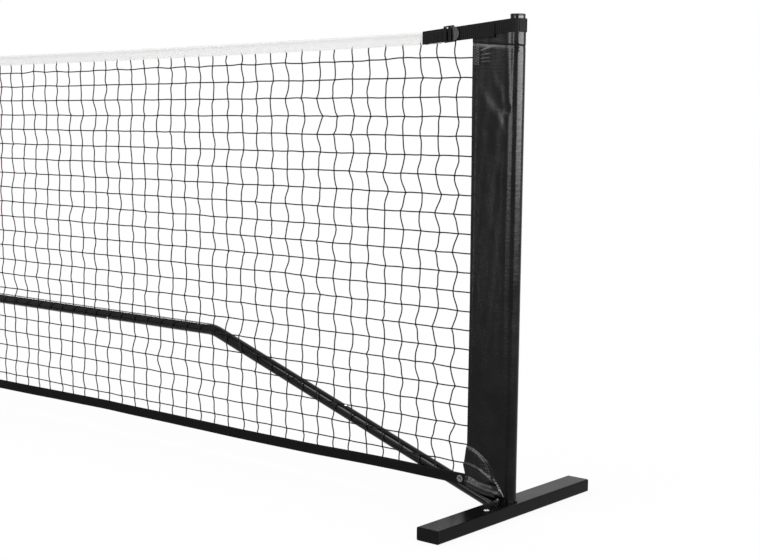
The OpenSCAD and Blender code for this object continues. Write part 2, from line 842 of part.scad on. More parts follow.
translate([half_span, 0, 0]) foot(foot_rivet_offset, -foot_rivet_reach);  // foot_right
translate([-half_span, 0, 0]) foot(-foot_rivet_offset, -foot_rivet_reach);  // foot_left
foot(0, 0);  // foot_centre
foot_caps();
at_end(1) post_stub();  // post_stub_right
at_end(-1) post_stub();  // post_stub_left
at_end(1) frame_spigot();  // frame_spigot_right
at_end(-1) frame_spigot();  // frame_spigot_left
at_end(1) post();  // post_right
at_end(-1) post();  // post_left
at_end(1) post_cap();  // post_cap_right
at_end(-1) post_cap();  // post_cap_left
at_end(1) lower_tube();  // lower_tube_right
at_end(-1) lower_tube();  // lower_tube_left
at_end(1) bend_tube();  // bend_tube_right
at_end(-1) bend_tube();  // bend_tube_left
for (i = [0:2]) {
    at_end(1) rail(i);
    at_end(-1) rail(i);
}
at_end(1) ferrules();  // ferrules_right
at_end(-1) ferrules();  // ferrules_left
at_end(1) rivets();  // rivets_right
at_end(-1) rivets();  // rivets_left
at_end(1) spring_clips();  // spring_clips_right
at_end(-1) spring_clips();  // spring_clips_left
button_names = ["lower", "bend", "outer", "middle", "hub"];
for (k = [0:4]) {
    at_end(1) at_button(k) snap_button();
    at_end(-1) at_button(k) snap_button();
}
centre_hub();
centre_post();
centre_post_cap();
centre_pocket();
net_mesh();
headband();
head_cord();
bottom_tape();
eyelets();
at_end(1) sleeve();  // sleeve_right
at_end(-1) sleeve();  // sleeve_left
at_end(1) anchor_strap();  // anchor_strap_right
at_end(-1) anchor_strap();  // anchor_strap_left
at_end(1) post_strap();  // post_strap_right
at_end(-1) post_strap();  // post_strap_left
at_end(1) buckle_webbing();  // buckle_webbing_right
at_end(-1) buckle_webbing();  // buckle_webbing_left
at_end(1) buckle();  // buckle_right
at_end(-1) buckle();  // buckle_left
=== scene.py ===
"""Portable court net: cloth, cord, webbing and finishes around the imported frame.

Metres. X runs along the net, Y through it and Z up from the floor. Each end of the
net is drawn from its right post's axis, with the reach u measured towards mid-net,
and mirrored for the left post.
"""

from __future__ import annotations

import json
import logging
import math
from dataclasses import dataclass, field
from enum import Enum
from typing import Any, Iterable, Mapping, Sequence

import bmesh
import bpy
import numpy as np
from mathutils import Matrix, Vector

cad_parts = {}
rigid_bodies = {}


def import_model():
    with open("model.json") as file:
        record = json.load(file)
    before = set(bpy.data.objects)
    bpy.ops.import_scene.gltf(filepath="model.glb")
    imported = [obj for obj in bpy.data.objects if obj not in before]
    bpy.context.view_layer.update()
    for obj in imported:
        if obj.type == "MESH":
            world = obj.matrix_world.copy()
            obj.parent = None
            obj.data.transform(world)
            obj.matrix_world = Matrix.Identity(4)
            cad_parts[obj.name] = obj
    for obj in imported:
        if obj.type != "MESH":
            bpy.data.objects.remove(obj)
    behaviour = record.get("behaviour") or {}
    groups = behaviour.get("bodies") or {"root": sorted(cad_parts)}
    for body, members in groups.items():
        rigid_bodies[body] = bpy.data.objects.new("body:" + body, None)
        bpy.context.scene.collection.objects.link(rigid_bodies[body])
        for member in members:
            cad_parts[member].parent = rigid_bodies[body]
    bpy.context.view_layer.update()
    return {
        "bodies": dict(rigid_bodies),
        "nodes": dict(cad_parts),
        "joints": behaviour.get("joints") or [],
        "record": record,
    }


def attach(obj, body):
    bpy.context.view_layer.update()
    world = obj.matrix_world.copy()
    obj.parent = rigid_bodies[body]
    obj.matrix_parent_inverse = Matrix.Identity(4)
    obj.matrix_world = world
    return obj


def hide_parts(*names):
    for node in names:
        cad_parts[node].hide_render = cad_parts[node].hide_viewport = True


log = logging.getLogger("court_net")

MM = 0.001


class Side(Enum):
    """End of the net."""

    RIGHT = 1
    LEFT = -1

    def name_of(self, piece: str) -> str:
        """Name of this end's copy of a piece."""
        return f"{piece}_{self.name.lower()}"


class Part(Enum):
    """Material slot of the record that a new piece belongs to."""

    NET = "net_cord"
    BAND = "band_white"
    CORD = "cord_black"
    TAPE = "tape_black"
    SLEEVE = "sleeve_vinyl"
    WEBBING = "webbing_black"


@dataclass(frozen=True)
class Layout:
    """Sizes that more than one piece shares."""

    half_span: float = 3353 * MM
    side_height: float = 914 * MM
    centre_height: float = 864 * MM
    band_sag: float = 13 * MM
    post_radius: float = 14 * MM
    net_y: float = -15 * MM
    band_end: float = 165 * MM
    band_height: float = 24 * MM
    bead: float = 7.1 * MM
    tape_low: float = 45 * MM
    tape_height: float = 22 * MM
    tape_thickness: float = 3 * MM
    eyelet_reach: float = 102 * MM
    sleeve_wall: float = 1.1 * MM
    sleeve_gap: float = 0.4 * MM
    sleeve_top: float = 918.5 * MM
    seam_reach: float = 83 * MM
    strap_width: float = 25 * MM
    strap_thickness: float = 1.5 * MM
    strap_height: float = 923 * MM
    anchor_reach: float = 205 * MM
    hinge_reach: float = 150 * MM
    hinge_y: float = -22.65 * MM

    @property
    def strap_slope(self) -> float:
        """Fall of the strap from the post towards the net."""
        middle = self.side_height - self.band_height / 2
        return (self.strap_height - middle) / self.anchor_reach

    def band_top(self, x: np.ndarray) -> np.ndarray:
        """Height of the headband's top edge at x."""
        reach = self.half_span - self.anchor_reach
        t = (reach - np.abs(x)) / reach
        drop = self.side_height - self.centre_height
        return self.side_height - drop * t - 4 * self.band_sag * t * (1 - t)

    def strap_z(self, x: np.ndarray) -> np.ndarray:
        """Height of the strap's middle at a distance x from the post axis."""
        return self.strap_height + np.minimum(x, 0.0) * self.strap_slope


def smooth(value: np.ndarray, low: Any, high: Any) -> np.ndarray:
    """Smooth step from 0 at low to 1 at high."""
    t = np.clip((value - low) / (high - low), 0.0, 1.0)
    return t * t * (3 - 2 * t)


def bell(value: np.ndarray, middle: Any, width: Any) -> np.ndarray:
    """Bell of height 1 with the given middle and width."""
    return np.exp(-(((value - middle) / width) ** 2))


class Ripple:
    """Sum of a few fixed random waves over two lengths."""

    def __init__(self, seed: int, waves: int, longest: tuple[float, float]) -> None:
        """Draws the waves.

        Args:
            seed: Seed of the random numbers.
            waves: How many waves are added.
            longest: Longest wavelength along each of the two lengths.
        """
        rng = np.random.default_rng(seed)
        self.rate = 2 * np.pi / (np.array(longest) * rng.uniform(0.35, 1.0, (waves, 2)))
        self.rate *= rng.choice([-1.0, 1.0], (waves, 2))
        self.phase = rng.uniform(0, 2 * np.pi, waves)
        self.share = rng.uniform(0.4, 1.0, waves)
        self.share /= self.share.sum()

    def at(self, a: np.ndarray, b: np.ndarray) -> np.ndarray:
        """Height of the waves, from -1 to 1, at a and b."""
        total = np.zeros(np.broadcast(a, b).shape)
        for (ra, rb), phase, share in zip(self.rate, self.phase, self.share):
            total += share * np.sin(ra * a + rb * b + phase)
        return total

    def along(self, a: np.ndarray) -> np.ndarray:
        """Height of the waves along the first length."""
        return self.at(a, np.zeros_like(a))


@dataclass
class MeshDraft:
    """Points, faces and cloth coordinates of a mesh while it is drawn."""

    points: list[np.ndarray] = field(default_factory=list)
    faces: list[list[int]] = field(default_factory=list)
    corners: list[list[tuple[float, float]]] = field(default_factory=list)
    count: int = 0

    def grid(
        self, points: np.ndarray, coords: np.ndarray, closed: bool = False
    ) -> np.ndarray:
        """Adds a sheet of four-sided faces.

        Args:
            points: Places, rows by columns by three.
            coords: Cloth coordinates, with one more column than points if closed.
            closed: Whether the last column joins the first.

        Returns:
            The vertex number of each place.
        """
        rows, columns = points.shape[:2]
        index = np.arange(rows * columns).reshape(rows, columns) + self.count
        self.points.append(points.reshape(-1, 3))
        self.count += rows * columns
        wide = np.concatenate([index, index[:, :1]], axis=1) if closed else index
        for r in range(rows - 1):
            for c in range(wide.shape[1] - 1):
                places = ((r, c), (r, c + 1), (r + 1, c + 1), (r + 1, c))
                self.faces.append([int(wide[p]) for p in places])
                self.corners.append([(coords[p][0], coords[p][1]) for p in places])
        return index

    def face(self, ring: Sequence[int], coords: Iterable[Sequence[float]]) -> None:
        """Adds one face on vertices that are there."""
        self.faces.append([int(i) for i in ring])
        self.corners.append([(c[0], c[1]) for c in coords])

    def bridge(self, first: Sequence[int], second: Sequence[int], width: float) -> None:
        """Joins two rows of vertices with a rim of the given width."""
        for i in range(len(first) - 1):
            ring = (first[i], first[i + 1], second[i + 1], second[i])
            self.face(ring, [(i * width, 0), ((i + 1) * width, 0),
                             ((i + 1) * width, width), (i * width, width)])

    def sweep(
        self, centre: np.ndarray, across: np.ndarray, up: np.ndarray, section: np.ndarray
    ) -> None:
        """Adds a closed bar along a line.

        Args:
            centre: Places along the line.
            across: Direction of the section's first axis at each place.
            up: Direction of the section's second axis at each place.
            section: Closed outline, the same at all places or one for each.
        """
        outline = np.broadcast_to(section, (len(centre),) + section.shape[-2:])
        points = (
            centre[:, None, :]
            + across[:, None, :] * outline[:, :, :1]
            + up[:, None, :] * outline[:, :, 1:2]
        )
        along = lengths(centre)
        ring = np.vstack([outline[0], outline[0][:1]])
        around = lengths(ring)
        coords = np.stack(np.meshgrid(along, around, indexing="ij"), axis=-1)
        index = self.grid(points, coords, closed=True)
        self.face(index[0][::-1], outline[0][::-1])
        self.face(index[-1], outline[-1])

    def level_bar(self, line: np.ndarray, section: np.ndarray) -> None:
        """Adds a closed bar along X, whose section lies in Y and Z."""
        self.sweep(line, same((0.0, 1.0, 0.0), line), same((0.0, 0.0, 1.0), line), section)

    def to_object(
        self, name: str, material: bpy.types.Material, side: Side = Side.RIGHT
    ) -> bpy.types.Object:
        """Turns the draft into an object at the origin.

        Args:
            name: Name of the piece.
            material: Material of the piece.
            side: End of the net: the left end is mirrored.

        Returns:
            The new object.
        """
        points = np.vstack(self.points) * (side.value, 1, 1)
        mesh = bpy.data.meshes.new(name)
        mesh.from_pydata(points.tolist(), [], self.faces)
        layer = mesh.uv_layers.new(name="cloth")
        flat = [value for ring in self.corners for corner in ring for value in corner]
        layer.data.foreach_set("uv", flat)
        shell = bmesh.new()
        shell.from_mesh(mesh)
        bmesh.ops.remove_doubles(shell, verts=shell.verts, dist=1e-6)
        bmesh.ops.recalc_face_normals(shell, faces=shell.faces)
        shell.to_mesh(mesh)
        shell.free()
        mesh.polygons.foreach_set("use_smooth", [True] * len(mesh.polygons))
        mesh.materials.append(material)
        return put_in_scene(name, mesh)


def put_in_scene(name: str, data: Any) -> bpy.types.Object:
    """New object at the origin."""
    piece = bpy.data.objects.new(name, data)
    bpy.context.scene.collection.objects.link(piece)
    return piece


def applied(piece: bpy.types.Object, modifier: bpy.types.Modifier) -> bpy.types.Mesh:
    """Mesh that a modifier makes of a piece, with the modifier taken off again."""
    depsgraph = bpy.context.evaluated_depsgraph_get()
    depsgraph.update()
    mesh = bpy.data.meshes.new_from_object(piece.evaluated_get(depsgraph), depsgraph=depsgraph)
    piece.modifiers.remove(modifier)
    return mesh


def sharpen(piece: bpy.types.Object, degrees: float) -> None:
    """Keeps a piece's edges sharp where they turn more than an angle."""
    piece.data.set_sharp_from_angle(angle=math.radians(degrees))


def same(direction: Sequence[float], line: np.ndarray) -> np.ndarray:
    """One direction for every point of a line."""
    return np.tile(direction, (len(line), 1))


def lengths(line: np.ndarray) -> np.ndarray:
    """Length of a line from its start to each of its points."""
    steps = np.linalg.norm(np.diff(line, axis=0), axis=1)
    return np.concatenate([[0.0], np.cumsum(steps)])


def directions(line: np.ndarray) -> np.ndarray:
    """Unit direction of a line at each of its points."""
    steps = np.gradient(line, axis=0)
    return steps / np.linalg.norm(steps, axis=1, keepdims=True)


def tidy_line(line: np.ndarray, pitch: float) -> np.ndarray:
    """Same line with points about a pitch apart."""
    along = lengths(line)
    stations = np.linspace(0, along[-1], max(2, int(round(along[-1] / pitch)) + 1))
    return np.stack([np.interp(stations, along, line[:, i]) for i in range(line.shape[1])], 1)


def round_post(radius: float, front: np.ndarray, back: np.ndarray, count: int) -> np.ndarray:
    """Arc round the post's axis that joins straight stretches from two points.

    Args:
        radius: Radius of the arc.
        front: Point in plan that the first stretch comes from.
        back: Point in plan that the last stretch goes to.
        count: Number of places on the arc.

    Returns:
        Places of the arc in plan.
    """
    start, end = (math.atan2(point[1], point[0])
                  + turn * math.acos(radius / float(np.linalg.norm(point)))
                  for point, turn in ((front, 1), (back, -1)))
    if end < start:
        end += 2 * math.pi
    turns = np.linspace(start, end, count)
    return np.stack([radius * np.cos(turns), radius * np.sin(turns)], 1)


# ---- node trees ----------------------------------------------------------------


class NodeGraph:
    """Adds nodes to a tree, and joins or sets their sockets."""

    def __init__(self, tree: bpy.types.NodeTree) -> None:
        """Takes the tree to add to."""
        self.tree = tree

    def add(
        self, kind: str, inputs: Mapping[str | int, Any] | None = None, **settings: Any
    ) -> bpy.types.Node:
        """Adds a node.

        Args:
            kind: Blender's name of the node type.
            inputs: Value or socket for each input, by name or number.
            settings: Properties of the node.

        Returns:
            The node.
        """
        node = self.tree.nodes.new(kind)
        for key, value in settings.items():
            setattr(node, key, value)
        for key, value in (inputs or {}).items():
            self.feed(node.inputs[key], value)
        return node

    def out(
        self, kind: str, inputs: Mapping[str | int, Any] | None = None, **settings: Any
    ) -> bpy.types.NodeSocket:
        """First output of a new node."""
        return self.add(kind, inputs, **settings).outputs[0]

    def feed(self, socket: bpy.types.NodeSocket, value: Any) -> None:
        """Links a socket to another, or sets its value."""
        if isinstance(value, bpy.types.NodeSocket):
            self.tree.links.new(value, socket)
        else:
            socket.default_value = value

    def math(self, operation: str, a: Any, b: Any = 0.0, c: Any = 0.0) -> bpy.types.NodeSocket:
        """Result of a calculation on up to three numbers."""
        return self.out("ShaderNodeMath", {0: a, 1: b, 2: c}, operation=operation)

    def vector(self, operation: str, a: Any, b: Any) -> bpy.types.NodeSocket:
        """Result of a calculation on two vectors."""
        return self.out("ShaderNodeVectorMath", {0: a, 1: b}, operation=operation)

    def part(self, vector: Any, axis: str) -> bpy.types.NodeSocket:
        """One component of a vector."""
        return self.add("ShaderNodeSeparateXYZ", {0: vector}).outputs[axis]

    def span(
        self, value: Any, low: float, high: float, to_low: float, to_high: float
    ) -> bpy.types.NodeSocket:
        """Value moved from one range to another and kept within it."""
        return self.out("ShaderNodeMapRange", {0: value, 1: low, 2: high, 3: to_low, 4: to_high})

    def tint(self, factor: Any, first: Any, second: Any) -> bpy.types.NodeSocket:
        """Colour between two others."""
        colours = {0: factor, 6: first, 7: second}
        return self.add("ShaderNodeMix", colours, data_type="RGBA").outputs[2]


def grey(value: float, warm: float = 0.0) -> tuple[float, float, float, float]:
    """Neutral colour, with more red and less blue as warm grows."""
    return (value * (1 + warm), value, value * (1 - warm), 1.0)


class ShaderGraph(NodeGraph):
    """Material tree with one Principled shader."""

    def __init__(self, name: str) -> None:
        """Starts an empty material."""
        self.material = bpy.data.materials.new(name)
        self.material.use_nodes = True
        super().__init__(self.material.node_tree)
        self.shader = self.tree.nodes["Principled BSDF"]

    def set(self, name: str, value: Any) -> None:
        """Sets or links one of the shader's sockets."""
        self.feed(self.shader.inputs[name], value)

    def place(self) -> bpy.types.NodeSocket:
        """Place on the piece, in metres."""
        return self.add("ShaderNodeTexCoord").outputs["Object"]

    def cloth(self) -> tuple[bpy.types.NodeSocket, bpy.types.NodeSocket]:
        """Place along and across the cloth, in metres."""
        cloth = self.out("ShaderNodeUVMap", uv_map="cloth")
        return self.part(cloth, "X"), self.part(cloth, "Y")

    def noise(self, place: Any, scale: float, detail: float = 3.0,
              stretch: tuple[float, float, float] = (1, 1, 1)) -> bpy.types.NodeSocket:
        """Cloudy pattern from 0 to 1."""
        return self.out("ShaderNodeTexNoise", {
            "Vector": self.vector("MULTIPLY", place, stretch), "Scale": scale,
            "Detail": detail, "Roughness": 0.55})

    def mottle(self, pattern: Any, roughness: float, less: float, more: float) -> None:
        """Makes the surface smoother and rougher in patches."""
        self.set("Roughness", self.span(pattern, 0.3, 0.7, roughness - less, roughness + more))

    def bump(self, height: Any, distance: float, normal: Any = None) -> bpy.types.NodeSocket:
        """Surface direction after a relief of the given height is laid on it."""
        node = self.add("ShaderNodeBump", {"Height": height, "Strength": 1.0, "Distance": distance})
        if normal is not None:
            self.feed(node.inputs["Normal"], normal)
        return node.outputs[0]

    def wave(self, length: Any, pitch: float, phase: Any = 0.0) -> bpy.types.NodeSocket:
        """Wave from 0 to 1 with the given pitch along a length."""
        angle = self.math("MULTIPLY_ADD", length, 2 * math.pi / pitch, phase)
        return self.math("MULTIPLY_ADD", self.math("SINE", angle), 0.5, 0.5)


class Recipe(NodeGraph):
    """Geometry Nodes tree with named inputs and a material at its end."""

    KINDS = {float: "NodeSocketFloat", int: "NodeSocketInt"}

    def __init__(self, name: str, inputs: Mapping[str, type]) -> None:
        """Starts the tree.

        Args:
            name: Name of the tree.
            inputs: Type of each named input.
        """
        super().__init__(bpy.data.node_groups.new(name, "GeometryNodeTree"))
        sockets = self.tree.interface
        sockets.new_socket("Geometry", in_out="INPUT", socket_type="NodeSocketGeometry")
        sockets.new_socket("Geometry", in_out="OUTPUT", socket_type="NodeSocketGeometry")
        for key, kind in inputs.items():
            sockets.new_socket(key, in_out="INPUT", socket_type=self.KINDS[kind])
        sockets.new_socket("Material", in_out="INPUT", socket_type="NodeSocketMaterial")
        self.source = self.add("NodeGroupInput").outputs

    def named(self, name: str, kind: str) -> bpy.types.NodeSocket:
        """Value that the guide's vertices carry under a name."""
        return self.out("GeometryNodeInputNamedAttribute", {"Name": name}, data_type=kind)

    def capture(
        self, geometry: bpy.types.NodeSocket, domain: str, **values: bpy.types.NodeSocket
    ) -> Sequence[bpy.types.NodeSocket]:
        """Holds numbers on a geometry as they are here.

        Args:
            geometry: The geometry.
            domain: What the numbers belong to.
            values: The numbers.

        Returns:
            The geometry and then the numbers.
        """
        node = self.add("GeometryNodeCaptureAttribute", domain=domain)
        for name in values:
            node.capture_items.new("FLOAT", name)
        for socket, value in zip(node.inputs, (geometry, *values.values())):
            self.feed(socket, value)
        return node.outputs

    def ball(self, segments: int, rings: int, radius: Any) -> bpy.types.NodeSocket:
        """Rough ball."""
        return self.out("GeometryNodeMeshUVSphere",
                        {"Segments": segments, "Rings": rings, "Radius": radius})

    def close(self, geometry: bpy.types.NodeSocket) -> None:
        """Ends the tree with real, smooth faces that carry the material."""
        real = self.out("GeometryNodeRealizeInstances", {0: geometry})
        even = self.out("GeometryNodeSetShadeSmooth", {"Geometry": real})
        dressed = self.out("GeometryNodeSetMaterial",
                           {"Geometry": even, "Material": self.source["Material"]})
        self.add("NodeGroupOutput", {0: dressed})

    def make(
        self, name: str, guide: bpy.types.Mesh, values: Mapping[str, Any]
    ) -> bpy.types.Object:
        """Runs the tree on a guide mesh.

        Args:
            name: Name of the new piece.
            guide: Mesh that the tree starts from; it is used up.
            values: Value of each named input.

        Returns:
            A plain mesh object at the origin.
        """
        carrier = put_in_scene(name + "_guide", guide)
        modifier = carrier.modifiers.new(self.tree.name, "NODES")
        modifier.node_group = self.tree
        for item in self.tree.interface.items_tree:
            if item.item_type == "SOCKET" and item.in_out == "INPUT" and item.name in values:
                modifier[item.identifier] = values[item.name]
        mesh = applied(carrier, modifier)
        mesh.name = name
        bpy.data.objects.remove(carrier)
        bpy.data.meshes.remove(guide)
        return put_in_scene(name, mesh)


def guide_mesh(
    points: np.ndarray,
    edges: Sequence[tuple[int, int]],
    marks: Mapping[str, np.ndarray] | None = None,
) -> bpy.types.Mesh:
    """Mesh of bare edges for a recipe.

    Args:
        points: Places of the vertices.
        edges: Pairs of vertex numbers.
        marks: Named number or vector for each vertex.

    Returns:
        The mesh.
    """
    mesh = bpy.data.meshes.new("guide")
    mesh.from_pydata(np.asarray(points).tolist(), [tuple(map(int, e)) for e in edges], [])
    for name, values in (marks or {}).items():
        kind, key = ("FLOAT_VECTOR", "vector") if values.ndim == 2 else ("FLOAT", "value")
        layer = mesh.attributes.new(name, kind, "POINT")
        layer.data.foreach_set(key, values.astype(np.float32).ravel())
    return mesh


def chain(count: int) -> list[tuple[int, int]]:
    """Edges that join so many points in a row."""
    return [(i, i + 1) for i in range(count - 1)]


class CordRecipe(Recipe):
    """Round cord along each edge or line of the guide, with a slight sway."""

    def __init__(self) -> None:
        """Builds the tree."""
        super().__init__("cord_along_lines", {
            "Radius": float, "Sides": int, "Steps": int,
            "Sway Upright": float, "Sway Level": float, "Seed": int})
        src = self.source
        line = self.out("GeometryNodeMeshToCurve", {"Mesh": src["Geometry"]})
        line = self.out("GeometryNodeResampleCurve", {"Curve": line, "Count": src["Steps"]})
        held = self.capture(line, "CURVE", First=self.chance(0), Second=self.chance(7))
        spline = self.add("GeometryNodeSplineParameter").outputs
        moved = self.out("GeometryNodeSetPosition", {
            "Geometry": held[0], "Offset": self.sway(spline["Factor"], held[1], held[2])})
        along = self.capture(moved, "POINT", Along=spline["Length"])
        ring = self.out("GeometryNodeCurvePrimitiveCircle",
                        {"Resolution": src["Sides"], "Radius": src["Radius"]})
        tube = self.out("GeometryNodeCurveToMesh",
                        {"Curve": along[0], "Profile Curve": ring, "Fill Caps": True})
        normal = self.out("GeometryNodeInputNormal")
        side = self.math("ADD", self.part(normal, "X"), self.part(normal, "Z"))
        lay = self.out("ShaderNodeCombineXYZ", {0: side, 1: self.part(normal, "Y"), 2: along[1]})
        self.close(self.out("GeometryNodeStoreNamedAttribute",
                            {"Geometry": tube, "Name": "lay", "Value": lay},
                            data_type="FLOAT_VECTOR", domain="POINT"))

    def sway(
        self, factor: bpy.types.NodeSocket, first: bpy.types.NodeSocket,
        second: bpy.types.NodeSocket,
    ) -> bpy.types.NodeSocket:
        """Sideways shift of a cord that isn't pulled quite straight.

        Args:
            factor: Share of the cord's length, from 0 to 1.
            first: Chance of the bow in its middle.
            second: Chance of the kink across it.

        Returns:
            The shift.
        """
        src = self.source
        heading = self.out("GeometryNodeInputTangent")
        upright = self.math("ABSOLUTE", self.part(heading, "Z"))
        reach = self.out("ShaderNodeMix", {0: upright, 2: src["Sway Level"],
                                           3: src["Sway Upright"]})
        bow = self.math("SINE", self.math("MULTIPLY", factor, math.pi))
        kink = self.math("SINE", self.math("MULTIPLY", factor, 2 * math.pi))
        kink = self.math("MULTIPLY", kink, self.math("MULTIPLY", second, 0.45))
        sway = self.math("MULTIPLY_ADD", bow, first, kink)
        sideways = self.vector("CROSS_PRODUCT", heading, (0.0, 1.0, 0.0))
        return self.out("ShaderNodeVectorMath",
                        {0: sideways, "Scale": self.math("MULTIPLY", sway, reach)},
                        operation="SCALE")

    def chance(self, offset: float) -> bpy.types.NodeSocket:
        """Random number from -1 to 1 for each line."""
        return self.add("FunctionNodeRandomValue", {
            2: -1.0, 3: 1.0, "ID": self.out("GeometryNodeInputIndex"),
            "Seed": self.math("ADD", self.source["Seed"], offset)}, data_type="FLOAT").outputs[1]


class KnotRecipe(Recipe):
    """Small knot on each marked vertex of the guide."""

    def __init__(self) -> None:
        """Builds the tree."""
        super().__init__("knots_on_points", {"Radius": float, "Seed": int})
        marked = self.math("GREATER_THAN", self.named("knot", "FLOAT"), 0.5)
        points = self.out("GeometryNodeMeshToPoints",
                          {"Mesh": self.source["Geometry"], "Selection": marked})
        self.close(self.out("GeometryNodeInstanceOnPoints", {
            "Points": points, "Instance": self.ball(6, 4, self.source["Radius"]),
            "Rotation": self.chance((-0.5, -0.5, -0.5), (0.5, 0.5, 0.5)),
            "Scale": self.chance((0.95, 0.75, 0.9), (1.2, 0.9, 1.3))}))

    def chance(self, low: Sequence[float], high: Sequence[float]) -> bpy.types.NodeSocket:
        """Random vector for each knot."""
        return self.out("FunctionNodeRandomValue", {
            0: low, 1: high, "ID": self.out("GeometryNodeInputIndex"),
            "Seed": self.source["Seed"]}, data_type="FLOAT_VECTOR")


class StitchRecipe(Recipe):
    """Row of stitches along the guide, each lying flat on the cloth."""

    def __init__(self) -> None:
        """Builds the tree."""
        super().__init__("stitches_along_lines", {
            "Pitch": float, "Stitch Length": float, "Thread": float})
        src = self.source
        line = self.out("GeometryNodeMeshToCurve", {"Mesh": src["Geometry"]})
        line = self.out("GeometryNodeResampleCurve", {"Curve": line, "Length": src["Pitch"]},
                        mode="LENGTH")
        turn = self.out("FunctionNodeAlignRotationToVector",
                        {"Vector": self.out("GeometryNodeInputTangent")}, axis="X")
        turn = self.out("FunctionNodeAlignRotationToVector",
                        {"Rotation": turn, "Vector": self.named("facing", "FLOAT_VECTOR")},
                        axis="Z", pivot_axis="X")
        size = self.out("ShaderNodeCombineXYZ", {
            0: src["Stitch Length"], 1: src["Thread"],
            2: self.math("MULTIPLY", src["Thread"], 0.7)})
        self.close(self.out("GeometryNodeInstanceOnPoints", {
            "Points": line, "Instance": self.ball(5, 3, 0.5), "Rotation": turn, "Scale": size}))


# ---- finishes ------------------------------------------------------------------


@dataclass(frozen=True)
class Finish:
    """A named material that each kind of finish draws in its own way."""

    name: str

    def material(self) -> bpy.types.Material:
        """Builds the material."""
        graph = ShaderGraph(self.name)
        self.draw(graph)
        return graph.material

    def draw(self, g: ShaderGraph) -> None:
        """Draws the colour, the shine and the relief."""
        raise NotImplementedError


@dataclass(frozen=True)
class PowderCoat(Finish):
    """Black powder coat on steel: a fine orange peel, dull patches and light dust."""

    base: float = 0.002
    dust: float = 0.002
    roughness: float = 0.22
    specular: float = 0.06
    peel: float = 0.02 * MM

    def draw(self, g: ShaderGraph) -> None:
        """Draws the coat."""
        place = g.place()
        patches = g.noise(place, 9.0, 4.0)
        specks = g.span(g.noise(place, 160.0, 2.0), 0.4, 0.7, 0.2, 1)
        dusty = g.math("MULTIPLY", g.span(patches, 0.42, 0.75, 0, 1), specks)
        g.set("Base Color", g.tint(dusty, grey(self.base), grey(self.base + self.dust, 0.04)))
        g.mottle(patches, self.roughness, 0.04, 0.07)
        g.set("Specular IOR Level", self.specular)
        scratches = g.span(g.noise(place, 70.0, 4.0, (1, 0.12, 0.12)), 0.6, 0.72, 0, 1)
        normal = g.bump(scratches, self.peel * 0.5)
        g.set("Normal", g.bump(g.noise(place, 620.0, 2.0), self.peel, normal))


@dataclass(frozen=True)
class MouldedPlastic(Finish):
    """Moulded black plastic: a fine spark-eroded grain and slightly polished patches."""

    base: float = 0.0025
    roughness: float = 0.3
    specular: float = 0.08
    grain: float = 0.03 * MM

    def draw(self, g: ShaderGraph) -> None:
        """Draws the plastic."""
        place = g.place()
        patches = g.noise(place, 45.0)
        g.set("Base Color", g.tint(patches, grey(self.base * 0.8), grey(self.base * 1.3)))
        g.mottle(patches, self.roughness, 0.06, 0.06)
        g.set("Specular IOR Level", self.specular)
        g.set("Normal", g.bump(g.noise(place, 1500.0, 2.0), self.grain))


@dataclass(frozen=True)
class BareMetal(Finish):
    """Plated or turned metal: fine marks, duller and darker patches."""

    colour: float = 0.66
    tarnish: float = 0.4
    roughness: float = 0.26
    marks: float = 0.012 * MM

    def draw(self, g: ShaderGraph) -> None:
        """Draws the metal."""
        place = g.place()
        patches = g.noise(place, 260.0)
        dull = g.span(patches, 0.35, 0.7, 0, 1)
        g.set("Base Color", g.tint(dull, grey(self.colour), grey(self.tarnish, 0.02)))
        g.set("Metallic", 1.0)
        g.mottle(patches, self.roughness, 0.05, 0.12)
        g.set("Normal", g.bump(g.noise(place, 2400.0, 2.0, (1, 1, 0.15)), self.marks))


@dataclass(frozen=True)
class RivetAlloy(BareMetal):
    """Bare on the foot, and painted with the tubes above it."""

    paint_from: float = 40 * MM
    paint: float = 0.003
    gloss: float = 0.1

    def draw(self, g: ShaderGraph) -> None:
        """Draws the metal, and the paint over it."""
        super().draw(g)
        painted = g.math("GREATER_THAN", g.part(g.place(), "Z"), self.paint_from)
        metal = g.shader.inputs["Base Color"].links[0].from_socket
        g.set("Base Color", g.tint(painted, metal, grey(self.paint)))
        g.set("Metallic", g.math("SUBTRACT", 1.0, painted))
        g.set("Specular IOR Level", self.gloss)


@dataclass(frozen=True)
class CoatedVinyl(Finish):
    """Coated cloth: a faint scrim under the skin, soft creases and rubbed patches."""

    base: float = 0.002
    rubbed: float = 0.004
    roughness: float = 0.24
    specular: float = 0.11
    scrim: float = 1.3 * MM
    scrim_relief: float = 0.02 * MM
    pucker_relief: float = 0.3 * MM
    crease_relief: float = 0.35 * MM

    def draw(self, g: ShaderGraph) -> None:
        """Draws the cloth."""
        place, (along, across) = g.place(), g.cloth()
        patches = g.noise(place, 24.0, 4.0)
        worn = g.span(patches, 0.4, 0.75, 0, 1)
        g.set("Base Color", g.tint(worn, grey(self.base), grey(self.rubbed)))
        g.mottle(patches, self.roughness, 0.03, 0.06)
        g.set("Specular IOR Level", self.specular)
        weave = g.math("MULTIPLY", g.wave(along, self.scrim), g.wave(across, self.scrim))
        normal = g.bump(weave, self.scrim_relief)
        normal = g.bump(g.noise(place, 190.0, 3.0, (0.25, 0.25, 1.0)), self.pucker_relief, normal)
        creases = g.noise(place, 60.0, 4.0, (1.0, 1.0, 0.3))
        g.set("Normal", g.bump(creases, self.crease_relief, normal))


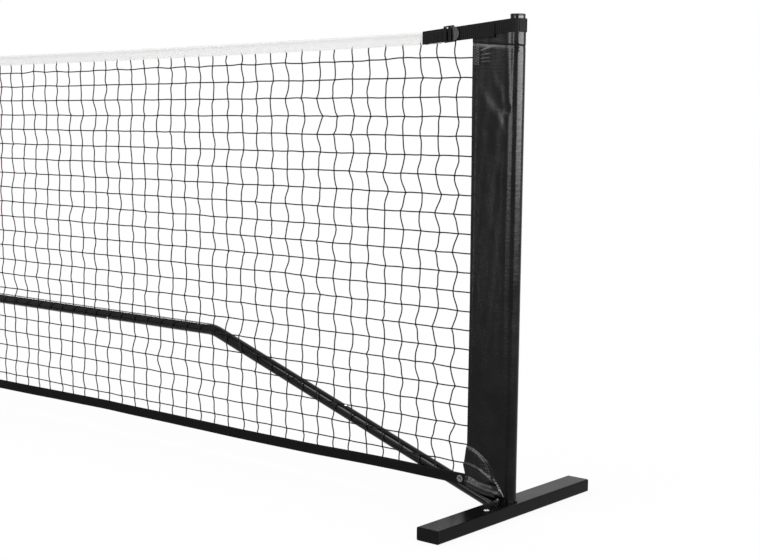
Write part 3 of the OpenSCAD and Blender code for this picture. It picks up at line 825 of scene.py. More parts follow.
@dataclass(frozen=True)
class WovenCloth(Finish):
    """Plain woven cloth: crossing yarns, a soft nap and slight unevenness."""

    base: float = 0.84
    shade: float = 0.79
    yarn: float = 0.55 * MM
    relief: float = 0.08 * MM
    nap: float = 0.04 * MM
    roughness: float = 0.8
    specular: float = 0.2

    def draw(self, g: ShaderGraph) -> None:
        """Draws the cloth."""
        place, (along, across) = g.place(), g.cloth()
        warp, weft = g.wave(along, 2 * self.yarn), g.wave(across, 2 * self.yarn)
        weave = g.math("ABSOLUTE", g.math("SUBTRACT", warp, weft))
        soft = g.noise(place, 30.0, 4.0)
        worn = g.math("MULTIPLY", g.span(soft, 0.35, 0.7, 0.1, 0.8), g.span(weave, 0, 1, 0.5, 1.0))
        g.set("Base Color", g.tint(worn, grey(self.base), grey(self.shade, 0.01)))
        g.mottle(soft, self.roughness, 0.05, 0.08)
        g.set("Specular IOR Level", self.specular)
        g.set("Normal", g.bump(weave, self.relief, g.bump(g.noise(place, 900.0), self.nap)))


@dataclass(frozen=True)
class RibbedWebbing(Finish):
    """Woven webbing: cross ribs, fine warp yarns between them and a soft sheen, with a painted
    highlight that colours the rib crests lighter than the grooves.
    """

    base: float = 0.0006
    # colour of the rib crests: a painted highlight
    light: float = 0.009
    rib: float = 4.6 * MM
    yarn: float = 0.9 * MM
    relief: float = 0.2 * MM
    nap: float = 0.05 * MM
    roughness: float = 0.56
    specular: float = 0.045
    sheen: float = 0.003

    def draw(self, g: ShaderGraph) -> None:
        """Draws the webbing."""
        place, (along, across) = g.place(), g.cloth()
        ribs = g.wave(along, self.rib, math.pi / 2)
        yarns = g.wave(across, self.yarn, g.math("MULTIPLY", ribs, 1.5))
        cloudy = g.noise(place, 40.0)
        # painted highlight: the rib crests are coloured lighter, in random cloudy patches
        crest_highlight = g.math("MULTIPLY", ribs, g.span(cloudy, 0.3, 0.7, 0.4, 1.0))
        g.set("Base Color", g.tint(crest_highlight, grey(self.base), grey(self.light)))
        g.mottle(cloudy, self.roughness, 0.06, 0.08)
        g.set("Specular IOR Level", self.specular)
        g.set("Sheen Weight", self.sheen)
        g.set("Sheen Roughness", 0.4)
        height = g.math("MULTIPLY_ADD", yarns, 0.6, g.math("MULTIPLY", ribs, 0.5))
        normal = g.bump(g.noise(place, 1200.0, 2.0), self.nap)
        g.set("Normal", g.bump(height, self.relief, normal))


@dataclass(frozen=True)
class TwistedCord(Finish):
    """Laid cord: strands that wind round it, with a little fuzz; the strand crests are painted
    lighter as a highlight and the grooves between them darker as painted shade.
    """

    base: float = 0.001
    # colour of the strand crests: a painted highlight over the painted shade of the grooves
    light: float = 0.004
    lay: float = 4.0 * MM
    relief: float = 0.2 * MM
    nap: float = 0.08 * MM
    roughness: float = 0.7
    specular: float = 0.1

    def draw(self, g: ShaderGraph) -> None:
        """Draws the cord."""
        mark = g.add("ShaderNodeAttribute", attribute_name="lay").outputs["Vector"]
        side, front, along = (g.part(mark, axis) for axis in "XYZ")
        angle = g.math("MULTIPLY", along, 2 * math.pi / self.lay)
        strand = g.math("ADD", g.math("MULTIPLY", g.math("SINE", angle), side),
                        g.math("MULTIPLY", g.math("COSINE", angle), front))
        height = g.math("MULTIPLY_ADD", strand, 0.5, 0.5)
        fuzz = g.noise(g.place(), 1500.0, 2.0)
        # painted highlight and shade: lighter on the strand crests, darker in the grooves, broken
        # by the fuzz
        crest_highlight = g.math("MULTIPLY", height, fuzz)
        g.set("Base Color", g.tint(crest_highlight, grey(self.base), grey(self.light)))
        g.mottle(fuzz, self.roughness, 0.08, 0.1)
        g.set("Specular IOR Level", self.specular)
        g.set("Normal", g.bump(height, self.relief, g.bump(fuzz, self.nap)))


@dataclass(frozen=True)
class Finishes:
    """Every material of the net."""

    frame: bpy.types.Material
    tube: bpy.types.Material
    post: bpy.types.Material
    cap: bpy.types.Material
    button: bpy.types.Material
    rivet: bpy.types.Material
    eyelet: bpy.types.Material
    net: bpy.types.Material
    knot: bpy.types.Material
    cord: bpy.types.Material
    band: bpy.types.Material
    white_thread: bpy.types.Material
    black_thread: bpy.types.Material
    pale_thread: bpy.types.Material
    tape: bpy.types.Material
    sleeve: bpy.types.Material
    webbing: bpy.types.Material
    buckle: bpy.types.Material

    @classmethod
    def mix(cls) -> "Finishes":
        """Builds all the materials."""
        looks: dict[str, Finish] = {
            "frame": PowderCoat("frame_powder_coat"),
            "tube": PowderCoat("tube_gloss_coat", roughness=0.13, specular=0.13, peel=0.004 * MM),
            "post": PowderCoat("post_gloss_coat", roughness=0.12, specular=0.16, peel=0.004 * MM),
            "cap": MouldedPlastic("cap_plastic", roughness=0.36, specular=0.07),
            "button": BareMetal("button_zinc"),
            "rivet": RivetAlloy("rivet_alloy", colour=0.72, tarnish=0.5, roughness=0.3),
            "eyelet": BareMetal("eyelet_dark_metal", colour=0.16, tarnish=0.08),
            "net": TwistedCord("net_cord"),
            "knot": TwistedCord("net_knot"),
            "cord": TwistedCord("headband_cord", lay=9 * MM, relief=0.5 * MM),
            "band": WovenCloth("headband_cloth"),
            "white_thread": WovenCloth("white_thread", base=0.82, shade=0.76),
            "black_thread": WovenCloth("black_thread", base=0.006, shade=0.004),
            "pale_thread": WovenCloth("pale_thread", base=0.2, shade=0.14),
            # the tape's light value is the colour of its painted rib-crest highlight
            "tape": RibbedWebbing("bottom_tape", rib=1.6 * MM, relief=0.15 * MM,
                                  base=0.001, light=0.003, sheen=0.0),
            "sleeve": CoatedVinyl("sleeve_vinyl"),
            "webbing": RibbedWebbing("strap_webbing"),
            "buckle": MouldedPlastic("buckle_plastic"),
        }
        return cls(**{use: look.material() for use, look in looks.items()})


# ---- the net's pieces ----------------------------------------------------------


Row = tuple[np.ndarray, np.ndarray]


def flat_row(line: np.ndarray, face: float = -1.0) -> Row:
    """Row of stitches on cloth that faces along Y: -1 is the front and 1 the back."""
    return line, same((0.0, face, 0.0), line)


def both_faces(line: np.ndarray, half: float, heights: Sequence[float]) -> list[Row]:
    """Rows of stitches on both faces of a cloth, at several heights over a line."""
    return [flat_row(line + (0.0, face * half, height), face)
            for height in heights for face in (-1.0, 1.0)]


@dataclass
class Workshop:
    """What every sub-assembly builds with."""

    layout: Layout
    finishes: Finishes
    cords: CordRecipe
    knots: KnotRecipe
    stitches: StitchRecipe

    def settle(
        self, piece: bpy.types.Object, part: Part, nodes: Sequence[str], body: str = "frame"
    ) -> bpy.types.Object:
        """Hands a finished piece to the frame.

        Args:
            piece: The piece, at the origin.
            part: Material slot that it belongs to; not used.
            nodes: CAD nodes that it stands for.
            body: Body that it rides on.

        Returns:
            The same piece.
        """
        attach(piece, body)
        if nodes:
            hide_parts(*nodes)
        log.info("%s: %d faces, on %s", piece.name, len(piece.data.polygons), body)
        return piece

    def sew(
        self, name: str, rows: Sequence[Row], thread: bpy.types.Material, part: Part,
        side: Side = Side.RIGHT, pitch: float = 4.2 * MM, length: float = 3.0 * MM,
        width: float = 0.55 * MM,
    ) -> bpy.types.Object:
        """Lays rows of stitches on cloth.

        Args:
            name: Name of the piece.
            rows: Places and outward directions along each row.
            thread: Material of the thread.
            part: Material slot of the cloth.
            side: End of the net.
            pitch: Distance from one stitch to the next.
            length: Length of a stitch.
            width: Thickness of the thread.

        Returns:
            The stitches, as one piece.
        """
        points, facing = (np.vstack(half) * (side.value, 1, 1) for half in zip(*rows))
        edges: list[tuple[int, int]] = []
        start = 0
        for line, _ in rows:
            edges += [(a + start, b + start) for a, b in chain(len(line))]
            start += len(line)
        values = {"Pitch": pitch, "Stitch Length": length, "Thread": width, "Material": thread}
        piece = self.stitches.make(name, guide_mesh(points, edges, {"facing": facing}), values)
        return self.settle(piece, part, [])


@dataclass
class CourtNet:
    """Knotted net of square meshes between the headband, the tape and the sleeves."""

    shop: Workshop
    half_columns: int = 74
    rows: int = 22
    first_column: float = 22 * MM
    column_pitch: float = 43.95 * MM
    row_pitch: float = 36.95 * MM
    top_row: float = 863.9 * MM
    top_row_reach: float = 166 * MM
    top_gap: tuple[float, float] = (19 * MM, 8.4 * MM)
    end_reach: float = 84 * MM
    cord_radius: float = 1.35 * MM
    knot_radius: float = 1.95 * MM
    zigzag: tuple[float, float] = (2.0 * MM, 3.8 * MM)
    drift: float = 7.0 * MM
    jitter: float = 1.3 * MM
    loose: tuple[float, float] = (1.1 * MM, 0.4 * MM)
    seed: int = 4

    def row_height(self, row: int, x: np.ndarray) -> np.ndarray:
        """Height of a row of knots at x."""
        lay = self.shop.layout

        def first(at: np.ndarray) -> np.ndarray:
            """Height of the top row."""
            reach = lay.half_span - np.abs(at)
            gap = self.top_gap[0] + self.top_gap[1] * np.exp(-(reach - self.top_row_reach) / 0.5)
            return lay.band_top(at) - lay.band_height - gap

        drop = first(np.array(lay.half_span - self.top_row_reach)) - first(x)
        share = 0.45 * math.exp(-row / 3) + 0.55 * (1 - row / self.rows)
        return self.top_row - self.row_pitch * row - drop * share

    def knots(self) -> np.ndarray:
        """Places of all knots, columns by rows by three."""
        rng = np.random.default_rng(self.seed)
        right = self.first_column + self.column_pitch * np.arange(self.half_columns)
        x = np.concatenate([-right[::-1], right])
        places = np.zeros((len(x), self.rows, 3))
        near = np.exp(-(self.shop.layout.half_span - self.end_reach - np.abs(x)) / 0.15)
        for r in range(self.rows):
            wave = Ripple(self.seed * 100 + r, 6, (1.1, 1.0)).along(x)
            zigzag = (self.zigzag[0] + self.zigzag[1] * near) * (1 if r % 2 else -1)
            sway = zigzag + self.drift * wave + rng.normal(0, self.jitter, len(x))
            places[:, r, 0] = x + sway
            places[:, r, 2] = self.row_height(r, x) + rng.normal(0, self.loose[r > 0], len(x))
        places[:, :, 1] = self.shop.layout.net_y + rng.normal(0, 0.15 * MM, places.shape[:2])
        return places

    def half(self, side: Side) -> bpy.types.Mesh:
        """Guide of one half of the net: its knots, ends and the cords between them."""
        lay = self.shop.layout
        places = self.knots()
        if side is Side.LEFT:
            places = places[: self.half_columns][::-1]
        else:
            places = places[self.half_columns - 1:]
        points: list[Sequence[float]] = []
        marks: list[float] = []
        edges: list[tuple[int, int]] = []

        def put(place: Sequence[float], knot: float = 0.0) -> int:
            """Adds a vertex and returns its number."""
            points.append(place)
            marks.append(knot)
            return len(points) - 1

        number = -np.ones(places.shape[:2], int)
        for c in range(places.shape[0]):
            borrowed = side is Side.RIGHT and c == 0
            for r in range(self.rows):
                number[c, r] = put(places[c, r], 0.0 if borrowed else 1.0)
                if c:
                    edges.append((number[c - 1, r], number[c, r]))
                if r and not borrowed:
                    edges.append((number[c, r - 1], number[c, r]))
            if borrowed:
                continue
            x = places[c, 0, 0]
            roof = float(lay.band_top(np.array(x))) - lay.band_height + 5 * MM
            edges.append((put((x, lay.net_y, roof)), number[c, 0]))
            foot = (places[c, -1, 0], lay.net_y, lay.tape_low + 14 * MM)
            edges.append((number[c, -1], put(foot)))
        edge_x = side.value * (lay.half_span - self.end_reach)
        for r in range(self.rows):
            edges.append((number[-1, r], put((edge_x, lay.net_y, places[-1, r, 2]))))
        return guide_mesh(np.array(points), edges, {"knot": np.array(marks)})

    def build(self) -> None:
        """Builds both halves, cords and knots."""
        shop = self.shop
        for side in Side:
            cords = shop.cords.make(side.name_of("net_cords"), self.half(side), {
                "Radius": self.cord_radius, "Sides": 5, "Steps": 5,
                "Sway Upright": 3.3 * MM, "Sway Level": 0.6 * MM,
                "Seed": self.seed + side.value, "Material": shop.finishes.net})
            shop.settle(cords, Part.NET, ["net_mesh"])
            knots = shop.knots.make(side.name_of("net_knots"), self.half(side), {
                "Radius": self.knot_radius, "Seed": self.seed, "Material": shop.finishes.knot})
            shop.settle(knots, Part.NET, ["net_mesh"])


@dataclass
class Headband:
    """White band folded over a cord, with a row of stitches under the bead."""

    shop: Workshop
    cloth: float = 2.2 * MM
    pitch: float = 30 * MM
    seam: float = 2.5 * MM
    cord_radius: float = 2.5 * MM
    cord_end: float = 86 * MM

    def section(self) -> np.ndarray:
        """Outline of the band across its length, from its top edge down."""
        lay = self.shop.layout
        bead, half = lay.bead / 2, self.cloth / 2
        turn = np.radians(np.linspace(-52, 232, 15))
        ring = np.stack([bead * np.cos(turn), -bead + bead * np.sin(turn)], 1)
        low = -lay.band_height
        right = np.array([(half, low), (half * 1.02, low + 0.8 * MM), (half, -lay.bead - 6 * MM)])
        return np.vstack([ring, right[::-1] * (-1, 1), right])

    def centre(self, xs: np.ndarray) -> np.ndarray:
        """Top line of the band at each station."""
        lay = self.shop.layout
        sway = Ripple(3, 6, (0.9, 1.0)).along(xs) * 0.3 * MM
        return np.stack([xs, lay.net_y + sway, lay.band_top(xs)], 1)

    def build(self) -> None:
        """Builds the band, its stitches and the cord in it."""
        lay, shop = self.shop.layout, self.shop
        half = lay.half_span - lay.band_end
        xs = np.linspace(-half, half, int(2 * half / self.pitch) + 1)
        centre = self.centre(xs)
        section = np.tile(self.section(), (len(xs), 1, 1))
        lower = section[:, :, 1] < -lay.bead - 8 * MM
        pucker = Ripple(8, 8, (0.16, 1.0)).along(xs)
        for axis, rise in ((0, 0.5 * MM), (1, 0.25 * MM)):
            section[:, :, axis] += np.where(lower, pucker[:, None] * rise, 0)
        draft = MeshDraft()
        draft.level_bar(centre, section)
        band = draft.to_object("headband_cloth", shop.finishes.band)
        sharpen(band, 50)
        shop.settle(band, Part.BAND, ["headband"])
        rows = both_faces(centre, self.cloth / 2 + 0.05 * MM,
                          (-lay.bead - self.seam, -lay.band_height + self.seam))
        thread = shop.sew("headband_stitches", rows, shop.finishes.white_thread, Part.BAND,
                          pitch=5 * MM, length=3.6 * MM)
        self.build_cord()

    def build_cord(self) -> None:
        """Builds the cord through the band and on to both sleeves."""
        lay = self.shop.layout
        half, band = lay.half_span - self.cord_end, lay.half_span - lay.band_end
        xs = np.linspace(-half, half, 241)
        end = smooth(np.abs(xs), band - 10 * MM, band + 20 * MM)
        line = np.stack([xs, lay.net_y + 0.8 * MM * end, lay.band_top(xs) - lay.bead / 2], 1)
        cord = self.shop.cords.make("headband_cord", guide_mesh(line, chain(len(line))), {
            "Radius": self.cord_radius - 0.05 * MM, "Sides": 12, "Steps": 600,
            "Sway Upright": 0.0, "Sway Level": 0.0, "Seed": 1,
            "Material": self.shop.finishes.cord})
        self.shop.settle(cord, Part.CORD, ["head_cord"])


@dataclass
class BottomTape:
    """Folded tape at the net's lower edge, with an eyelet's hole at each end."""

    shop: Workshop
    end_reach: float = 88 * MM
    hole_radius: float = 3.9 * MM
    seam: float = 2.6 * MM

    def line(self, xs: np.ndarray) -> np.ndarray:
        """Lower edge of the tape at each station."""
        lay = self.shop.layout
        reach = lay.half_span - np.abs(xs)
        wave = np.interp(reach, [0.09, 0.25, 0.6, 1.15, 1.8, 2.6, 3.36],
                         [0.0, 1.0, -2.5, 2.0, -1.5, 1.5, -1.0]) * MM
        fine = Ripple(12, 7, (0.5, 1.0)).along(xs)
        calm = smooth(reach, 0.11, 0.3)
        return np.stack([xs, lay.net_y + 0.5 * MM * fine * calm,
                         lay.tape_low + (wave + 0.6 * MM * fine) * calm], 1)

    def build(self) -> None:
        """Builds the tape and its stitches."""
        lay, shop = self.shop.layout, self.shop
        half = lay.half_span - self.end_reach
        line = self.line(np.linspace(-half, half, 301))
        t, h = lay.tape_thickness / 2, lay.tape_height
        heights = np.array([0.0, 0.5, 2.5, 6.0, 11.0, 16.0, 19.5, 21.5, 22.0]) / 22 * h
        body = t * np.array([0.35, 0.85, 1.0, 0.92, 0.9, 0.92, 1.0, 0.85, 0.35])
        back = np.stack([body, heights], 1)
        draft = MeshDraft()
        draft.level_bar(line, np.vstack([back, back[::-1] * (-1, 1)]))
        tape = draft.to_object("bottom_tape_cloth", shop.finishes.tape)
        self.pierce(tape)
        sharpen(tape, 55)
        shop.settle(tape, Part.TAPE, ["bottom_tape"])
        thread = shop.sew("bottom_tape_stitches", both_faces(line, t, (self.seam, h - self.seam)),
                          shop.finishes.black_thread, Part.TAPE)

    def pierce(self, tape: bpy.types.Object) -> None:
        """Cuts the eyelets' holes."""
        lay = self.shop.layout
        mesh = bpy.data.meshes.new("punch")
        punch = bmesh.new()
        for side in Side:
            place = Matrix.Translation((side.value * (lay.half_span - lay.eyelet_reach), lay.net_y,
                                        lay.tape_low + lay.tape_height / 2))
            bmesh.ops.create_cone(punch, cap_ends=True, segments=24, radius1=self.hole_radius,
                                  radius2=self.hole_radius, depth=20 * MM,
                                  matrix=place @ Matrix.Rotation(math.pi / 2, 4, "X"))
        punch.to_mesh(mesh)
        punch.free()
        cutter = put_in_scene("punch", mesh)
        modifier = tape.modifiers.new("holes", "BOOLEAN")
        modifier.object = cutter
        modifier.operation = "DIFFERENCE"
        modifier.solver = "EXACT"
        tape.data = applied(tape, modifier)
        bpy.data.objects.remove(cutter)


@dataclass
class PostSleeve:
    """Vinyl tube round a post, pinched to a flat seam where the net is sewn in.

    Its folds are drawn in millimetres, over the reach u from the post's axis towards
    mid-net and the height h.
    """

    shop: Workshop
    side: Side
    bottom: float = 30 * MM
    edge_reach: float = 87.5 * MM
    columns_seam: int = 5
    columns_flat: int = 46
    columns_arc: int = 44
    rows: int = 250
    turn_step: float = 200 / 44
    back_share: float = 0.45

    KINK = 771.0
    HEM = 892.0
    WRINKLES = ((875, 0.34, 2.6, 0.9), (867.5, 0.14, 2.0, 0.55),
                (861.5, 0.08, 1.9, 0.5), (855.5, 0.03, 1.8, 0.45))
    FOOT_FOLDS = (
        ((-4, 0, 10, 17.5, 27.5, 41, 58, 73, 89), (33, 39.5, 53.5, 64, 81.5, 99, 111, 118.5, 123)),
        ((-4, 4, 16, 22, 39, 55, 75, 89), (32, 45, 62, 65.5, 75.5, 84, 89.3, 90.5)),
        ((-4, 4, 10, 25, 45, 64, 79), (32, 44, 53, 51, 53, 56, 62)),
        ((-4, 0, 13, 35, 54, 70, 80), (31, 37.5, 43, 45, 48, 52.5, 55)),
    )
    EDGE_HEIGHTS = (38, 52, 66, 84, 96, 121, 407, 640, 780, 921)
    EDGE_BULGES = (-7, -0.5, 2.2, 3.2, 1.8, -0.8, -1.2, 0.4, 1.9, 2.6)

    def outline(self) -> tuple[np.ndarray, np.ndarray]:
        """Plan of the cloth's middle, from the front edge round the post to the back one.

        Returns:
            Places in plan, and the outward direction at each.
        """
        lay = self.shop.layout
        half = lay.sleeve_wall / 2
        front, back = (np.array([-lay.seam_reach, lay.net_y + face * half]) for face in (-1, 1))
        front_edge, back_edge = (np.array([-self.edge_reach, end[1]]) for end in (front, back))
        arc = round_post(lay.post_radius + lay.sleeve_gap + half, front, back, self.columns_arc)
        seam = np.linspace(0, 1, self.columns_seam)[:, None]
        flat = (0.5 - 0.5 * np.cos(np.pi * np.linspace(0, 1, self.columns_flat)))[1:-1, None]
        line = np.vstack([
            front_edge + (front - front_edge) * seam, front + (arc[0] - front) * flat, arc,
            arc[-1] + (back - arc[-1]) * flat, back + (back_edge - back) * seam])
        heading = directions(line)
        return line, np.stack([heading[:, 1], -heading[:, 0]], 1)

    def relief(
        self, u: np.ndarray, h: np.ndarray, front: np.ndarray, turn: np.ndarray
    ) -> np.ndarray:
        """Folds and creases: how far the cloth stands out at each place.

        Args:
            u: Reach from the post axis towards the net.
            h: Height.
            front: 1 on the front flat, 0 on the back one, falling round the post.
            turn: Angle past the front tangent in degrees, 0 on the front flat.

        Returns:
            Height of the relief in metres.
        """
        upper = smooth(h, 180, 520)
        pinch = bell(h, self.KINK, 10)
        ridge = 6 + 3.5 * smooth(h, 800, 880) - 5.5 * pinch
        out = (1.2 - 0.85 * pinch) * bell(u, ridge, 5.0 - 2.4 * pinch) * front * upper
        out -= 0.45 * bell(turn, 22, 12) * upper
        out += (self.creases(u, h) + self.pulls(u, h)) * front
        out -= 0.8 * bell(h, 886, 3.5) * bell(turn, 34, 7)
        out += 0.6 * bell(h, 879, 3.5) * bell(turn, 44, 9)
        out += 0.5 * bell(u, 81, 1.3) * (0.6 + 0.4 * np.sin(h / 4.1))
        broad = Ripple(31, 9, (46.0, 420.0)).at(u, h)
        small = Ripple(32, 12, (17.0, 90.0)).at(u, h)
        fine = Ripple(33, 14, (60.0, 11.0)).at(u, h)
        calm = smooth(-u, -84, -66)
        body = calm * (0.35 + 0.65 * smooth(u, 6, 24))
        out += (0.4 * broad + 0.12 * small) * body + 0.1 * fine * calm
        hem = self.HEM - 0.06 * (80 - u)
        out += 0.22 * smooth(h, hem - 0.4, hem + 2.2)
        groove = hem - 0.9
        out -= bell(h, groove, np.where(h < groove, 4.2, 1.3))
        return out * MM

    def pulls(self, u: np.ndarray, h: np.ndarray) -> np.ndarray:
        """Folds that the tension draws below the strap, and small ones at the seam."""
        across = (h - 764 - (u - 29) * 1.09) * 0.676
        out = 1.6 * (1 - smooth(across, -9, 9))
        out *= smooth(across, -48 + 24 * smooth(-u, -44, -20), -9)
        out *= smooth(u, 9, 24) * smooth(-u, -78, -52)
        across = (h - 810 - (u - 24) * 1.6) * 0.53
        small = 0.6 * (1 - smooth(across, -5, 5)) * smooth(across, -20, -5)
        out += small * smooth(u, 12, 22) * smooth(-u, -50, -38)
        out -= 0.9 * bell(h, 766, 4.5) * bell(u, 11, 6)
        ends = smooth(-u, -76, -69) * smooth(u, 46, 57)
        for start, tilt, width, rise in self.WRINKLES:
            out += rise * bell(h - start - (71 - u) * tilt, 0, width) * ends
        return out

    def creases(self, u: np.ndarray, h: np.ndarray) -> np.ndarray:
        """Four sharp folds that fan out from the post's foot."""
        first, second, third, fourth = (np.interp(u, *fold) for fold in self.FOOT_FOLDS)
        near = smooth(u, 0, 22)

        def step(line: np.ndarray, width: np.ndarray) -> np.ndarray:
            """Soft step outwards, below a line."""
            return 0.42 * width * smooth(line + width / 2 - h, 0, width)

        out = step(first, 3.8 + 3.2 * near) + step(second, 3.4 + 2.4 * near)
        out += 1.6 * near * np.clip((first - 4 - h) / np.maximum(first - second - 8, 3), 0, 1)
        gap = np.maximum(second - third - 6, 3)
        out -= (2.6 + 4.4 * near) * np.clip((second - 3 - h) / gap, 0, 1)
        out += step(third, 4.4 + 4.0 * near) + step(fourth, 4.4 + 4.0 * near)
        out -= 4.6 * np.clip((fourth - 3 - h) / 9, 0, 1)
        return out * smooth(u, -4, 8)

    def feet(self, u: np.ndarray, front: np.ndarray) -> np.ndarray:
        """Height of the lower edge at each column of the flats, in metres."""
        facing = np.interp(u, [-16, 0, 25, 50, 71, 80, 90], [30, 30, 33.5, 35, 37, 38.5, 43])
        axis = 12.5 + (u - 25) * math.tan(math.radians(18.69))
        behind = np.maximum(30, axis + 15.6)
        return (behind + (facing - behind) * front) * MM

    def shares(self) -> np.ndarray:
        """Share of the height at each row of places, closer where the cloth is creased."""
        h = np.linspace(34, 918.5, 3000)
        need = 1 / 6.4 + smooth(-h, -150, -110) / 1.5
        need += bell(h, self.KINK, 16) / 2.5 + bell(h, 866, 20) / 1.3 + bell(h, self.HEM, 6) / 0.8
        total = np.concatenate([[0.0], np.cumsum((need[1:] + need[:-1]) / 2)])
        rows = np.interp(np.linspace(0, total[-1], self.rows), total, h)
        return (rows - h[0]) / (h[-1] - h[0])

    def middle(self, line: np.ndarray, outward: np.ndarray) -> np.ndarray:
        """Places of the cloth's middle, rows by columns by three, with its folds.

        Args:
            line: Plan of the cloth's middle.
            outward: Outward direction at each place of it.

        Returns:
            The places, from the post's axis.
        """
        lay = self.shop.layout
        columns = np.arange(len(line))
        arc = self.columns_seam + self.columns_flat - 2
        before = (columns < arc + self.columns_arc // 2).astype(float)
        low = self.feet(-line[:, 0] / MM, before)
        low[arc:arc + self.columns_arc] = self.bottom
        z = low + (lay.sleeve_top - low) * self.shares()[:, None]
        plan = np.tile(line, (self.rows, 1, 1))
        bulge = np.interp(z / MM, self.EDGE_HEIGHTS, self.EDGE_BULGES)
        plan[:, :, 0] -= bulge * smooth(-plan[:, :, 0] / MM, 60, 87) * MM
        front = 1 - smooth(columns.astype(float), arc + 1, arc + self.columns_arc * 0.4)
        turn = np.clip((columns - arc) * self.turn_step, 0, 400)
        out = self.relief(-plan[:, :, 0] / MM, z / MM, front, turn)
        out = np.where(before > 0.5, out, out * self.back_share)
        return np.concatenate([plan + outward * out[:, :, None], z[:, :, None]], axis=2)

    def build(self) -> None:
        """Builds the sleeve and its sewing."""
        lay, shop = self.shop.layout, self.shop
        line, outward = self.outline()
        middle = self.middle(line, outward)
        normal = np.cross(np.gradient(middle, axis=1), np.gradient(middle, axis=0))
        normal /= np.linalg.norm(normal, axis=2, keepdims=True)
        if float(np.mean(np.sum(normal[:, :, :2] * outward, axis=2))) < 0:
            normal = -normal
        shift = np.array([lay.half_span, 0, 0])
        skins = [middle + normal * lay.sleeve_wall / 2 * face + shift for face in (1, -1)]
        z = middle[:, :, 2]
        coords = np.stack(np.broadcast_arrays(lengths(line), z), axis=-1)
        draft = MeshDraft()
        outer, inner = (draft.grid(skin, coords) for skin in skins)
        for a, b in ((outer[0], inner[0]), (outer[-1], inner[-1]),
                     (outer[:, 0], inner[:, 0]), (outer[:, -1], inner[:, -1])):
            draft.bridge(a, b, lay.sleeve_wall)
        sleeve = draft.to_object(self.side.name_of("sleeve_skin"), shop.finishes.sleeve, self.side)
        sharpen(sleeve, 60)
        shop.settle(sleeve, Part.SLEEVE, [self.side.name_of("sleeve")])
        self.sew(sleeve, skins[0], normal, z)

    def sew(
        self, sleeve: bpy.types.Object, skin: np.ndarray, normal: np.ndarray, z: np.ndarray
    ) -> None:
        """Args:
            sleeve: The sleeve's own piece; not used.
            skin: Places of the outer skin.
            normal: Outward directions there.
            z: Heights there.
        """
        shop, side = self.shop, self.side
        rows = [flat_row(tidy_line(skin[6:-3, column], 6 * MM), face)
                for column, face in ((3, -1.0), (-4, 1.0))]
        hem = np.argmin(np.abs(z - 896 * MM), axis=0), np.arange(skin.shape[1])
        ring, faces = skin[hem], normal[hem]
        ring[:, 2] = ring[:, 2].mean()
        rows.append((ring[2:-2] + faces[2:-2] * 0.1 * MM, faces[2:-2]))
        thread = shop.sew(side.name_of("sleeve_stitches"), rows, shop.finishes.black_thread,
                          Part.SLEEVE, side)
        piece = shop.sew(side.name_of("sleeve_bar_tack"), self.bar_tack(),
                         shop.finishes.pale_thread, Part.SLEEVE, side,
                         pitch=2.2 * MM, length=2.4 * MM, width=0.75 * MM)
        side.name_of("post")

    def bar_tack(self) -> list[Row]:
        """Box of zigzag stitches that ties the seam under the strap."""
        lay = self.shop.layout
        y = lay.net_y - lay.sleeve_wall - 0.25 * MM
        zigzag = [(75.5 if k % 2 else 85.0, 853 + k * 2.4) for k in range(15)]
        box = [(75, 852), (75, 888), (86, 888), (86, 852), (75, 852)]
        return [flat_row(np.array([(lay.half_span - u * MM, y, h * MM) for u, h in path]))
                for path in (zigzag, box)]


